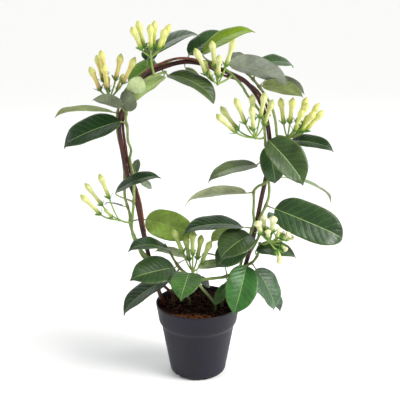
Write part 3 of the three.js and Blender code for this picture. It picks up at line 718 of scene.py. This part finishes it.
# %% Where every leaf grows
# Base, tip, width, the way the upper side looks, arch, fold, kind, and where its stalk leaves the stem where
# that isn't right beside the base.
LEAVES = {
    "left": [
        ((-102, -13, 368), (-176, -31, 340), 42, (0.1, -0.55, 0.83), 0.05, 12, "dark", (-98, -4, 360)),
        ((-100, -12, 386), (-134, -34, 402), 27, (0.2, 0.75, 0.65), 0.06, 10, "greyback", (-97, -6, 376)),
        ((-100, -14, 389), (-82, -21, 405), 30, (0.2, 0.9, -0.4), 0.06, 10, "greyback", (-94, -6, 384)),
        ((-68, -13, 417), (-91, -25, 414), 23, (-0.2, -0.95, 0.25), 0.08, 8, "young"),
        ((-39, -12, 428), (22, -36, 400), 38, (0.2, -0.35, 0.9), 0.12, 8, "blunt"),
        ((-111, -16, 272), (-51, -36, 301), 29, (-0.2, -0.35, 0.9), 0.07, 10, "edge", (-88, -8, 255)),
        ((-85, 3, 294), (-82, 12, 312), 13, (-0.4, -0.8, 0.4), 0.05, 10, "sage"),
        ((-79, 3, 281), (-63, 15, 270), 15, (0.1, -0.6, 0.75), 0.05, 10, "sage"),
    ],
    "top": [
        ((-113, 8, 377), (-196, 34, 372), 30, (0, 0.4, 0.9), 0.03, 10, "olive"),
        ((-44, 12, 424), (-90, 31, 387), 31, (-0.5, 0.6, 0.6), 0.05, 8, "fresh", (-50, 10, 437)),
        ((-54, 20, 440), (-96, 36, 408), 30, (0, -0.85, 0.5), 0.06, 8, "fresh"),
        ((-58, 18, 446), (-70, 32, 460), 22, (-0.3, -0.6, 0.7), 0.05, 8, "dark"),
        ((-66, 6, 447), (2, 22, 480), 40, (-0.35, -0.35, 0.85), 0.1, 8, "silver", (-66, 10, 435)),
        ((-12, 14, 452), (40, 34, 480), 38, (-0.3, -0.55, 0.75), 0.06, 8, "deep"),
        ((6, 3, 454), (72, 2, 486), 29, (-0.2, -0.5, 0.8), 0.11, 8, "bright", (16, 3, 446)),
        ((-16, 2, 435), (4, 14, 423), 13, (0.5, -0.3, 0.8), 0.05, 8, "bright"),
        ((-74, 20, 222), (-2, -2, 207), 42, (0, -0.9, 0.45), 0.05, 8, "light", (-90, 2, 224)),
        ((-104, 6, 246), (-131, 22, 246), 12, (0, 0.3, 0.95), 0.05, 8, "silver"),
    ],
    "inner": [
        ((93, -9, 334), (105, -13, 283), 33, (0.15, -0.97, 0.1), 0.03, 6, "deep", (92, 1, 333)),
        ((80, -5, 307), (14, -38, 297), 28, (0, -0.35, 0.93), 0.07, 10, "worn", (92, 3, 327)),
        ((105, -10, 247), (197, -30, 212), 53, (0.2, -0.85, 0.5), 0.04, 8, "broad"),
        ((97, 4, 230), (121, 34, 208), 24, (0.2, -0.5, 0.8), 0.06, 8, "deep"),
        ((122, 10, 286), (194, 44, 247), 30, (0.36, 0.08, 0.72), 0.06, 8, "pale"),
        ((84, 18, 120), (123, 30, 80), 34, (0.2, 0.7, 0.7), 0.05, 8, "blueback"),
    ],
    "outer": [
        ((76, 16, 436), (40, 40, 446), 32, (0, 0.55, 0.8), 0.08, 8, "silverback", (66, 7, 430)),
        ((40, -5, 442), (117, -27, 421), 37, (0.2, 0.75, 0.6), 0.07, 8, "silverback", (60, 8, 434)),
        ((95, 6, 422), (142, 4, 404), 22, (0.25, 0.75, 0.6), 0.06, 8, "silverback"),
        ((80, 10, 438), (130, 34, 437), 30, (0, -0.45, 0.9), 0.1, 8, "deep", (74, 4, 421)),
        ((84, -7, 414), (137, -21, 404), 27, (0.1, 0.75, 0.6), 0.07, 8, "olive"),
        ((124, -4, 340), (178, -28, 334), 27, (0.1, -0.5, 0.85), 0.07, 10, "dark", (107, -5, 338)),
        ((93, -18, 344), (139, -46, 292), 47, (0.1, -0.75, 0.65), 0.04, 18, "dusky", (105, -4, 329)),
        ((66, -6, 268), (-18, -30, 264), 32, (0, 0.65, 0.75), 0.07, 10, "pale"),
        ((62, -8, 220), (-19, -40, 225), 40, (0, -0.2, 0.98), 0.08, 10, "dark"),
        ((62, 10, 210), (19, 44, 183), 30, (0, 0.8, 0.5), 0.05, 8, "light"),
        ((72, -20, 213), (30, -54, 193), 47, (-0.3, -0.65, 0.65), 0.05, 10, "dusky"),
        ((66, -8, 196), (25, -26, 170), 40, (-0.3, -0.7, 0.6), 0.05, 10, "deep"),
    ],
    "low": [
        ((-38, -14, 188), (-92, -44, 202), 40, (-0.1, -0.2, 0.97), 0.1, 8, "dark"),
        ((-16, 6, 171), (-60, 26, 175), 22, (0.1, 0.72, 0.5), 0.05, 8, "pale"),
        ((-32, -18, 164), (-89, -58, 165), 46, (0, -0.6, 0.8), 0.06, 8, "gloss"),
        ((-40, -17, 147), (-104, -48, 110), 42, (-0.5, -0.3, 0.8), 0.08, 8, "shadow"),
        ((-12, -30, 161), (-22, -84, 147), 42, (0, -0.35, 0.93), 0.08, 8, "mid"),
        ((0, -8, 142), (18, 14, 124), 16, (0.3, -0.6, 0.7), 0.05, 8, "shadow"),
    ],
    "lowRight": [
        ((32, 2, 172), (6, 26, 168), 16, (0, 0.5, 0.85), 0.05, 8, "greyback"),
        ((0, -8, 160), (44, 10, 156), 20, (0, -0.3, 0.95), 0.08, 8, "young"),
        ((42, -20, 141), (23, -38, 117), 16, (-0.3, -0.7, 0.4), 0.05, 8, "mid"),
        ((67, -20, 168), (49, -60, 114), 44, (0.1, -0.75, 0.6), 0.08, 8, "vivid"),
        ((81, -12, 160), (109, -28, 106), 46, (0.6, -0.5, 0.6), 0.06, 8, "blueback"),
        ((80, -16, 189), (136, -18, 182), 32, (0, -0.35, 0.93), 0.12, 8, "mid", (82, -9, 178)),
    ],
}
print("leaves:", sum(len(rows) for rows in LEAVES.values()))


# %% [markdown]
# ## Green stems with their leaves
#
# Each leafy stem is two pieces: the green skin of its stem and stalks, and its leaf blades. Both stand in for
# one CAD node.

# %% Leafy stems
BROWN_BELOW, BROWN_FADE = 135, 30       # mm of height: the stems are brown near the soil, and green above
JOINT_WIDE = 2.8            # mm of run
JOINT_HIGH, JOINT_MOST = 1.0, 1.2       # share of the full swelling at one joint, and where two lie together


def vine(name):
    """The stem thins from foot to tip, swells at each leaf joint, and is brown there and near the soil."""
    line = stems[name]
    share = np.linspace(0, 1, int(line.length / VINE_STEP))
    points = line.at(share)
    places = [line.nearest(root_of(row)) * line.length for row in LEAVES[name]]
    swell = np.minimum(joints(share * line.length, places, JOINT_WIDE, JOINT_HIGH), JOINT_MOST)
    radius = VINE_R * (1.05 - 0.27 * share) + 0.55 * swell
    radius = radius[:, None] + 0.07 * ripple(points, 9, seed=11)[:, None]
    mix = np.clip(0.5 + 0.4 * ripple(points, 70, seed=12), 0, 1)[:, None]
    tone = blend(linear("#6d8a42"), "#98ab62", mix)
    tone = blend(tone, "#6b5a34", np.clip(0.55 * swell, 0, 0.6)[:, None])
    tone = blend(tone, "#3a2f1e", np.clip((BROWN_BELOW - points[:, 2:]) / BROWN_FADE, 0, 1) ** 0.5 * 0.8)
    return rod(points, radius, STEM_SIDES, tone)


LEAFY_NODES = {
    "leafy_stem_left": ["left"], "leafy_stem_top": ["top"], "leafy_stem_right_inner": ["inner"],
    "leafy_stem_right_outer": ["outer"], "leafy_stem_low": ["low", "lowRight"],
}


def leafy_stems():
    """Makes both pieces of each CAD node. Each leaf's seed is one more than the last one's."""
    seed = 100
    for node, names in LEAFY_NODES.items():
        skins, blades = [], []
        for name in names:
            skins.append(vine(name))
            for row in LEAVES[name]:
                seed += 1
                one_blade, stalk = leaf(stems[name], row, seed)
                blades.append(one_blade)
                skins.append(stalk)
        short = node.removeprefix("leafy_stem_")
        show(f"green_stem_{short}", skins, green_skin, node)
        show(f"leaves_{short}", blades, waxy_leaf, node)


leafy_stems()

# %% [markdown]
# ## Bud heads
#
# The flowers grow in umbels: all the little stalks of a head start from one point. A bud that is nearly ready
# has a green cup of five sepals, a narrow waxy tube and a fat pointed head, where five petals lie rolled
# round each other. The roll shows as a slow spiral of five ridges. One bud could be sculpted and copied, but
# no two here have the same length or lean. So tube and head are one rod, whose radius is read from a profile,
# times a five-fold wave that turns as it climbs.

# %% Where every bud grows
# Stem, where the head's stalk leaves it, the head's middle, and each bud's tip from the middle; a fourth
# number under 1 is a young, short bud.
BUD_HEADS = {
    "bud_head_upper_left": ("top", (-107, 6, 386), (-116, -2, 398),
        [(-24, -8, 41), (-16, 6, 55), (-9, -6, 62), (-5, -14, 46), (16, 4, 57), (35, -2, 53),
         (-3, 12, 27, 0.6), (18, 12, 30, 0.6)]),
    "bud_head_top_left": ("left", (-56, -6, 428), (-60, -12, 452),
        [(-24, -4, 38), (-17, 8, 45), (0, -8, 41), (5, 6, 45), (20, -6, 36), (25, 5, 41)]),
    "bud_head_top_middle": ("inner", (45, -5, 428), (26, -18, 418),
        [(-30, -6, 46), (-8, 2, 55), (1, -12, 38), (20, -4, 57), (-18, 6, 30, 0.7),
         (-12, -10, 18, 0.5)]),
    "bud_head_lower_left": ("left", (-91, -4, 226), (-108, -10, 231),
        [(-25, 2, 65), (-46, 6, 51, 0.9), (-50, -10, 39), (-18, -12, 20, 0.6)]),
    "bud_head_right_inner": ("inner", (90, -3, 345), (76, -17, 347),
        [(-52, -8, 33), (-46, 6, 41), (-28, -8, 54), (-5, 6, 57), (-7, -12, 45), (10, -6, 61),
         (22, 5, 50)]),
    "bud_head_right_outer": ("outer", (104, -7, 347), (119, -9, 345),
        [(-10, 6, 53), (5, -6, 55), (25, 4, 54), (18, -12, 42), (34, -8, 38), (47, 2, 37),
         (24, -12, 49, 0.9), (42, 6, 46, 0.9), (30, 10, 30, 0.8)]),
    "bud_head_low": ("low", (-6, -19, 148), (-7, -24, 160),
        [(-27, 2, 62), (0, -6, 61), (-10, 8, 50), (12, 4, 53), (25, -4, 47)]),
    "bud_head_low_right": ("lowRight", (85, -12, 199), (97, -34, 208),
        [(4, -2, 37, 0.9), (-18, -2, 30, 0.85), (-12, 8, 24, 0.75), (20, 4, 13, 0.75),
         (27, -6, 14, 0.75), (16, -6, -30, 0.85), (-4, -10, 20, 0.65), (-9, 10, 35, 0.7),
         (14, -8, 22, 0.65), (33, 3, 6, 0.65), (24, 2, -14, 0.6)]),
}
print("buds:", sum(len(head[3]) for head in BUD_HEADS.values()))

# %% Bud
PEDICEL_R, PEDUNCLE_R = 1.05, 1.45
BUD_LENGTH = 34             # mm of tube and head, at size 1
BUD_SIDES = 20
# Radius in mm at shares of that length: foot, waist, fattest part of the head, tip.
BUD_PROFILE = np.array([(0, 1.4), (0.03, 2.3), (0.10, 3.0), (0.2, 2.95), (0.35, 2.75), (0.5, 2.8),
                        (0.6, 3.25), (0.68, 4.0), (0.76, 4.6), (0.83, 4.45), (0.9, 3.3), (0.955, 1.8),
                        (1.0, 0.4)])
# Base of the tube, tube, head and very tip.
BUD_COLOURS = {
    "cream": ("#a3ad55", "#d0d48c", "#dddf9c", "#9aa93e"),
    "blush": ("#c2a46c", "#dacc7a", "#dfdd88", "#a8a83c"),
    "lemon": ("#a2b042", "#d6d87e", "#dddd88", "#b9b650"),
    "green": ("#86a048", "#a8b866", "#bac678", "#7f9636"),
    "ivory": ("#a9b75c", "#dcdfa4", "#eceac6", "#dfe0a0"),
}
# Share of the way out at which a bud starts, and its girth: one head's buds are short and fat, about to open.
SLIM, STUBBY = (0.5, 1.0), (0.62, 1.4)
# Colours and build of the heads that differ from the cream, slim ones.
HEAD_PLANS = {"bud_head_upper_left": ("blush", SLIM), "bud_head_top_left": ("lemon", SLIM),
              "bud_head_right_outer": ("lemon", SLIM), "bud_head_low": ("green", SLIM),
              "bud_head_low_right": ("ivory", STUBBY)}
RIDGE, TWIST = 0.055, 1.6   # height of the rolled petals' ridges, and how far they turn, in radians


def sepals(foot, axis, size, draw):
    """Five pointed green scales round the tube's foot, whose tips spread: small shells bent round a cone."""
    side = unit(np.cross(axis, np.array([0.2, 0.9, 0.4])))
    up = np.cross(axis, side)
    s, t = np.linspace(0, 1, 6)[:, None], np.linspace(-1, 1, 5)[None]
    flat = np.full((6, 5), 0.24)
    tone = linear("#5f8f34")
    out = (1.3 + 2.1 * np.sin(0.5 * np.pi * np.clip(1.5 * s, 0, 1)) + 3.8 * s ** 2.5) * size + 0.25
    rise = (-0.9 + 6.4 * s - 0.4 * t ** 2) * size
    start = draw.uniform(0, 2 * np.pi)
    found = []
    for k in range(5):
        turn = start + 2 * np.pi * k / 5 + 0.55 * t * (1 - s) ** 0.7
        middle = (foot + rise[..., None] * axis
                  + (out * np.cos(turn))[..., None] * side + (out * np.sin(turn))[..., None] * up)
        found.append(shell(middle, (flat, flat), (tone, tone), (t, s)))
    return found


def bud(middle, tip, size, build, colours, seed):
    """Stalk, tube and head are one rod. Its line bends from the head's middle to the bud's foot, then runs
    straight to the tip. Its radius follows the profile, times 1 + RIDGE * cos(5 * (angle - twist))."""
    draw = np.random.default_rng(seed)
    reach = tip - middle
    start, girth = build
    drop = max((start - 0.25) * reach[2], reach[2] - BUD_LENGTH * size)
    foot = middle + np.array([start * reach[0], start * reach[1], drop])
    axis = unit(tip - foot)
    bend = middle + 0.6 * (foot - middle) + np.array([0, 0, -0.18 * np.linalg.norm(foot - middle)])
    stalk = bezier(middle, bend, foot - 0.5 * axis, steps=14)
    t = np.linspace(0, 1, 40)
    belly = unit(np.cross(axis, draw.normal(size=3))) * draw.uniform(0.2, 0.9) * size
    size = size * girth
    body = foot + t[:, None] * (tip - foot) + np.sin(np.pi * t)[:, None] * belly
    radius = np.interp(t, *BUD_PROFILE.T) * size
    angle = np.arange(BUD_SIDES) * 2 * np.pi / BUD_SIDES
    ridge = RIDGE * np.clip((t - 0.55) / 0.15, 0, 1) * np.clip((1 - t) / 0.05, 0, 1)
    lobes = 1 + ridge[:, None] * np.cos(5 * (angle[None] - TWIST * t[:, None]))
    stalk_radius = PEDICEL_R * np.sqrt(size) * (1 + 0.25 * np.linspace(0, 1, len(stalk)) ** 3)
    base, tube, head, point = (linear(c) for c in colours)
    key = [0, 0.12, 0.35, 0.6, 0.78, 0.9, 1]
    values = np.array([base * 0.9, base, tube, tube, head, 0.5 * (head + point), point])
    tone = np.stack([np.interp(t, key, channel) for channel in values.T], 1)
    return [rod(body, radius[:, None] * lobes, BUD_SIDES, tone),
            rod(stalk, stalk_radius, 8, linear("#8fa84e")),
            *sepals(foot, axis, size, draw)]


# %% Heads
KNOB_R, KNOB_HALF = 2.3, 2.4            # mm
YOUNG_SIZE = 0.65           # a cream head's buds under this size are still green


def bud_head(node, stem_name, root, middle, tips, seed):
    """The head's stalk leaves the stem square to it. It ends in a small knob, where the bud stalks start."""
    line = stems[stem_name]
    middle = np.array(middle, float)
    share = line.nearest(np.array(root, float))
    foot, ahead = line.at(share), line.ahead(share)
    out = middle - foot
    away = unit(out - out.dot(ahead) * ahead)
    start = foot + away * (VINE_R * (1.05 - 0.27 * share) + 0.1)
    stalk = bezier(start, start + away * 0.4 * np.linalg.norm(middle - start), middle, steps=18)
    run = np.linspace(0, 1, len(stalk))
    radius = PEDUNCLE_R * (0.95 + 0.35 * np.exp(-(run / 0.15) ** 2) + 0.25 * np.exp(-((run - 1) / 0.1) ** 2))
    green = linear("#7f9a48")
    knob_line = middle + np.linspace(-KNOB_HALF, KNOB_HALF, 9)[:, None] * unit(middle - stalk[-3])
    knob = rod(knob_line, KNOB_R * np.sqrt(np.maximum(1 - np.linspace(-1, 1, 9) ** 2, 0.02)), 12, green)
    found = [rod(stalk, radius, 10, green), knob]
    plan, build = HEAD_PLANS.get(node, ("cream", SLIM))
    for k, tip in enumerate(tips):
        size = tip[3] if len(tip) > 3 else 1
        colours = BUD_COLOURS["green" if size < YOUNG_SIZE and plan == "cream" else plan]
        found += bud(middle, middle + np.array(tip[:3], float), size, build, colours, seed + k)
    return found


# %% Bud finish
def bud_material():
    """Waxy petal: light sinks in a little and comes out soft, under a dull wax gloss."""
    material, tree, shader = new_material("waxy bud")
    grain, mottled = grained(tree, (4, 3.0, 0.5), (0.3, 0.7, 0.9, 1.06))
    bump = add(tree, "Bump", {"Height": grain, "Strength": 0.12, "Distance": 0.0005})
    feed(shader, {"Base Color": mottled, "Normal": bump, "Roughness": 0.42, "Subsurface Weight": 0.12,
                  "Subsurface Radius": (0.6, 0.8, 0.3), "Subsurface Scale": 0.002})
    return material


waxy_bud = bud_material()
for index, (node, head) in enumerate(BUD_HEADS.items()):
    short = node.removeprefix("bud_head_")
    show(f"buds_{short}", bud_head(node, *head, 500 + 20 * index), waxy_bud, node)

# %% [markdown]
# ## Pot
#
# A nursery pot is injection moulded from recycled polypropylene, dark grey with a slight purple cast, and its
# wall is under 2 mm thick. The Screw modifier could turn its profile round the axis. The same is done here
# with arrays, which close both poles exactly. The deep band below the rim lets pots be stacked. The foot has
# six notches that let water out, and the floor six drain holes. A Boolean cuts both.

# %% Pot profile
NOTCH_TURN = 0.22           # radians that the notches are turned from the hoop's plane
DRAIN_R, DRAIN_AT = 3.5, 22
NOTCH_FROM, NOTCH_TO, NOTCH_WIDE, NOTCH_HIGH = 29, 43, 8, 4.5
POT_PROFILE = [
    (0, 0), (20, 0), (33.2, 0), (36, 0.4), (38.2, 1.5), (39.8, 3.4), (40.6, 6), (41, 9), (51.6, 70.4),
    (51.9, 72), (52.35, 73.4), (53, 74.8), (53.9, 76.2), (54.8, 77.5), (55.5, 78.9), (56, 80.6),
    (57.4, 90), (59.2, 101), (59.75, 104), (59.95, 105.2), (59.7, 105.85), (59.2, 106), (58.6, 105.85),
    (58.35, 105.2), (58.1, 104), (57.6, 101), (55.8, 90), (54.4, 79), (53.9, 77.6), (51, 74.8), (50.4, 73.4),
    (50, 71), (39.4, 9), (38.6, 6), (37, 3.6), (34, 2.6), (20, 2.6), (0, 2.6),
]


def turned(profile, around, tone):
    """A profile of (radius, height) turned round Z. Points on the axis become one pole each."""
    profile = np.asarray(profile, float)
    ring = profile[1:-1]
    angle = np.arange(around) * 2 * np.pi / around
    r, z = (np.broadcast_to(column[:, None], (len(ring), around)) for column in ring.T)
    points = np.stack([r * np.cos(angle), r * np.sin(angle), z], -1).reshape(-1, 3)
    poles = [[0, 0, profile[0, 1]], [0, 0, profile[-1, 1]]]
    return part(np.concatenate([points, poles]), *tube_faces(len(ring), around), tone)


def dense(profile, longest):
    """The profile with extra points, so that no stretch is over the longest."""
    found = [profile[0]]
    for (r, z), (next_r, next_z) in zip(profile, profile[1:]):
        count = int(np.ceil(np.hypot(next_r - r, next_z - z) / longest))
        found += [(r + (next_r - r) * k / count, z + (next_z - z) * k / count) for k in range(1, count + 1)]
    return found


print("pot mm:", max(z for _, z in POT_PROFILE), "high,", 2 * max(r for r, _ in POT_PROFILE), "across")


# %% Pot finish
def pot_material():
    """Moulded polypropylene: satin, with faint scuffs, a little dried peat and the mould's grain, which is
    drawn at 0.7 mm because the real one, of a tenth of that, would not show."""
    material, tree, shader = new_material("moulded polypropylene")
    place = add(tree, "TexCoord").outputs["Object"]
    cloud = add(tree, "TexNoise", {"Vector": place, "Scale": MM_PER_M / 50, "Detail": 3.0})
    share = add(tree, "MapRange", {"Value": cloud, **span(0.3, 0.75)})
    colour = add(tree, "MixRGB", {"Fac": share, "Color1": rgba("#0f0d17"), "Color2": rgba("#1a1629")})
    dust = add(tree, "TexNoise", {"Vector": place, "Scale": MM_PER_M / 1.8, "Detail": 5.0})
    specks = add(tree, "MapRange", {"Value": dust, **span(0.68, 0.76, 0, 0.5)})
    dusty = add(tree, "MixRGB", {"Fac": specks, "Color1": colour, "Color2": rgba("#575049")})
    grain = add(tree, "TexNoise", {"Vector": place, "Scale": MM_PER_M / 0.7, "Detail": 2.0})
    bump = add(tree, "Bump", {"Height": grain, "Strength": 0.15, "Distance": 0.0003})
    scuff = add(tree, "MapRange", {"Value": cloud, **span(0.3, 0.7, 0.42, 0.55)})
    feed(shader, {"Base Color": dusty, "Normal": bump, "Roughness": scuff, "IOR": 1.37})
    return material


# %% Pot piece
POT_SIDES = 180


def block(points, wide, high):
    """A four-sided rod along level points: corners wide / 2 to either side, and high above and below."""
    ahead = unit(points[-1] - points[0])
    side = np.array([-ahead[1], ahead[0], 0]) * wide / 2
    up = np.array([0, 0, high])
    ring = np.stack([points + side + up, points - side + up, points - side - up, points + side - up], 1)
    last = 4 * (len(points) - 1)
    ends = np.array([[3, 2, 1, 0], [last, last + 1, last + 2, last + 3]])
    return part(ring, np.concatenate([tube_faces(len(points), 4)[0], ends]), [], (0, 0, 0))


def foot_cutter():
    """Six short cylinders through the floor and six blocks through the foot, in one mesh for the Boolean."""
    cutters = []
    for k in range(6):
        turn = (k + 0.5) * np.pi / 3
        x, y = DRAIN_AT * np.cos(turn), DRAIN_AT * np.sin(turn)
        cutters.append(rod(np.array([(x, y, z) for z in np.linspace(-3, 6, 4)]), DRAIN_R, 28, (0, 0, 0)))
        turn += NOTCH_TURN
        reach = np.linspace(NOTCH_FROM, NOTCH_TO, 4)[:, None]
        cutters.append(block(reach * np.array([np.cos(turn), np.sin(turn), 0]), NOTCH_WIDE, NOTCH_HIGH))
    return put("foot_cutter", mesh_of("foot_cutter", join(cutters)))


def pot_piece():
    """The turned wall less the cutter. The mesh that the Boolean leaves becomes the piece's own."""
    body = turned(dense(POT_PROFILE, 6), POT_SIDES, linear("#434148"))
    pot = show("pot_shell", [body], pot_material(), "pot")
    cutter = foot_cutter()
    cut = pot.modifiers.new("holes and notches", "BOOLEAN")
    cut.operation, cut.object, cut.solver = "DIFFERENCE", cutter, "EXACT"
    bpy.context.view_layer.update()
    final = bpy.data.meshes.new_from_object(pot.evaluated_get(bpy.context.evaluated_depsgraph_get()))
    pot.modifiers.clear()
    pot.data = final
    bpy.data.objects.remove(cutter)
    print("pot faces after the holes:", len(pot.data.polygons))


pot_piece()

# %% [markdown]
# ## Soil
#
# Peat and coir: a dark crumbly bed with lumps of a few millimetres, and orange-brown threads of coconut fibre
# that gather at the rim. A Displace modifier could roughen it, but lumps and threads need to know how high
# the bed is, so its height is a function. The bed is one turned body, raised by it. Lumps and threads are
# some two thousand tiny shapes of a few dozen faces, worked out together as whole arrays.

# %% Soil bed
SOIL_TOP = 99
WALL_R = 57.0               # where the bed meets the pot's wall
BED_R = 56                  # the dome's edge, and how far out lumps lie
BED_SIDES = 240
# Height and width of the crumbs in mm, with the seed and the number of waves of their noise.
CRUMBS = [(1.1, 15, 21, 9), (0.75, 6.5, 22, 13), (0.45, 3.2, 23, 17)]


def bed_height(x, y):
    """Height of the bed: a slight dome, rising to the rim at the front left, with crumbs of three sizes."""
    points = np.stack([x, y, np.zeros_like(x)], -1)
    r = np.hypot(x, y)
    dome = 1.2 * (1 - (r / BED_R) ** 2)
    bank = 4.2 * np.exp(-((x + 8) / 26) ** 2) * np.exp(-((y + 50) / 9) ** 2)
    crumbs = sum(height * ripple(points, *wave) for height, *wave in CRUMBS)
    return SOIL_TOP + dome + bank + crumbs * np.clip((WALL_R + 0.4 - r) / 3, 0.25, 1)


def soil_bed():
    """A turned body that fills the pot. Its points inside the wall are raised to the bed's height."""
    inner = [(0, 2.95), (33, 2.95), (37.8, 6), (38.9, 9.4), (49.4, 73), (50.6, 75.4), (53.6, 78.6),
             (WALL_R, SOIL_TOP - 2)]
    wall = dense(inner, 5)
    rings = [(r, 0) for r in np.linspace(WALL_R, 0, 90)]
    bed = turned(wall + rings[1:], BED_SIDES, linear("#0f0704"))
    x, y, z = bed["points"].T
    top = np.arange(len(x)) >= (len(wall) - 2) * BED_SIDES
    top[-2] = False         # the pole under the floor
    bed["points"] = np.stack([x, y, np.where(top, bed_height(x, y), z)], -1)
    return bed


# %% Lumps
def octahedron_ball():
    """An octahedron, each face cut in four, every point pushed out to radius 1: 18 points and 32 faces."""
    corners = [(1, 0, 0), (-1, 0, 0), (0, 1, 0), (0, -1, 0), (0, 0, 1), (0, 0, -1)]
    faces = [(0, 2, 4), (2, 1, 4), (1, 3, 4), (3, 0, 4), (2, 0, 5), (1, 2, 5), (3, 1, 5), (0, 3, 5)]
    points, middles, tris = [np.array(c, float) for c in corners], {}, []
    for a, b, c in faces:
        cut = []
        for u, v in ((a, b), (b, c), (c, a)):
            key = (min(u, v), max(u, v))
            if key not in middles:
                middles[key] = len(points)
                points.append(points[u] + points[v])
            cut.append(middles[key])
        tris += [(a, cut[0], cut[2]), (cut[0], b, cut[1]), (cut[2], cut[1], c), tuple(cut)]
    return unit(np.array(points)), np.array(tris)


def drawn_tones(palette, count, darkest, lightest, each):
    """A colour of the palette for each of count shapes, made darker or lighter, repeated for its points."""
    tones = np.array([linear(c) for c in palette])[rng.integers(0, len(palette), count)]
    return np.repeat(tones * rng.uniform(darkest, lightest, (count, 1)), each, axis=0)


def lumps(count, palette):
    """Pebbles of 1 to 4 mm with 32 faces, each squashed and turned its own way, sunk to about half."""
    ball, ball_faces = octahedron_ball()
    radius = BED_R * np.sqrt(rng.uniform(0, 1, count))
    turn = rng.uniform(0, 2 * np.pi, count)
    x, y = radius * np.cos(turn), radius * np.sin(turn)
    size = 0.5 + 1.5 * rng.uniform(0, 1, count) ** 2.2
    stretch = size[:, None] * rng.uniform(0.6, 1.25, (count, 3))
    spin = np.linalg.qr(rng.normal(size=(count, 3, 3)))[0]
    dents = 1 + 0.22 * rng.normal(size=(count, len(ball), 1))
    shape = (ball[None] * dents * stretch[:, None]) @ spin.transpose(0, 2, 1)
    middle = np.stack([x, y, bed_height(x, y) + 0.15 * size], -1)
    faces = ball_faces[None] + np.arange(count)[:, None, None] * len(ball)
    return part(middle[:, None] + shape, [], faces, drawn_tones(palette, count, 0.7, 1.3, len(ball)))


# %% Threads
THREAD_RINGS, THREAD_SIDES = 8, 3
THREAD_WALL_R = 56.2        # threads stay inside the pot's wall


def threads(x, y, length, palette, radius):
    """Curled fibres that lie on the bed: three-sided rods of eight rings, along lines that slowly turn."""
    count = len(x)
    heading = (rng.uniform(0, 2 * np.pi, count)[:, None]
               + np.cumsum(rng.normal(0, 0.35, (count, THREAD_RINGS)), 1))
    pace = (length / (THREAD_RINGS - 1))[:, None]
    px = x[:, None] + np.cumsum(np.cos(heading) * pace, 1)
    py = y[:, None] + np.cumsum(np.sin(heading) * pace, 1)
    shrink = np.minimum(1, THREAD_WALL_R / np.hypot(px, py))
    px, py = px * shrink, py * shrink
    hump = np.sin(np.linspace(0, np.pi, THREAD_RINGS))[None] * rng.uniform(0, 2.2, count)[:, None]
    line = np.stack([px, py, bed_height(px, py) + 0.2 + hump], -1)
    ahead = unit(np.gradient(line, axis=1))
    side = unit(np.cross(np.array([0, 0, 1.0]), ahead))
    taper = np.sin(np.linspace(0.35, np.pi - 0.35, THREAD_RINGS))[None]
    thick = rng.uniform(*radius, count)[:, None] * taper
    points = line[:, :, None] + thick[..., None, None] * circle(side, np.cross(ahead, side), THREAD_SIDES)
    each = THREAD_RINGS * THREAD_SIDES
    start = np.arange(count)[:, None] * each
    quads = start[..., None] + tube_faces(THREAD_RINGS, THREAD_SIDES)[0]
    tris = np.concatenate([start + [2, 1, 0], start + each - [3, 2, 1]])
    return part(points, quads, tris, drawn_tones(palette, count, 0.7, 1.2, each))


# %% Soil finish
def soil_material(name, roughness):
    """Damp peat: nearly black where wet, brown where dry. It is porous, so a low IOR leaves little gloss."""
    material, tree, shader = new_material(name)
    crumbs, mottled = grained(tree, (3.5, 6.0, 0.7), (0.35, 0.7, 0.45, 1.7))
    bump = add(tree, "Bump", {"Height": crumbs, "Strength": 0.8, "Distance": 0.0012})
    feed(shader, {"Base Color": mottled, "Normal": bump, "Roughness": roughness, "IOR": 1.2})
    return material


# %% Soil pieces
PEAT = ["#0d0604", "#150a06", "#1c0e08", "#27130c", "#331a10", "#3a2214"]
COIR = ["#5e3319", "#744425", "#8a5630", "#663a1e", "#452816"]
LUMPS, SCATTERED, MATTED = 1500, 260, 320


def soil_pieces():
    """The bed, its lumps, threads scattered all over it, and more that lie matted at the rim in front."""
    show("soil_bed", [soil_bed()], soil_material("damp peat", 0.95), "soil")
    show("soil_lumps", [lumps(LUMPS, PEAT)], soil_material("peat crumbs", 0.9), "soil")
    radius, turn = 55 * np.sqrt(rng.uniform(0, 1, SCATTERED)), rng.uniform(0, 2 * np.pi, SCATTERED)
    scattered = threads(radius * np.cos(turn), radius * np.sin(turn), rng.uniform(6, 22, SCATTERED),
                        PEAT[2:] + COIR[:2], (0.18, 0.4))
    x = rng.normal(-8, 17, MATTED)
    y = -np.sqrt(np.maximum(55.5 ** 2 - x ** 2, 0)) + np.abs(rng.normal(0, 3.5, MATTED))
    matted = threads(x, y, rng.uniform(6, 20, MATTED), COIR, (0.2, 0.45))
    show("coir_threads", [scattered, matted], soil_material("coconut fibre", 0.8), "soil")


soil_pieces()
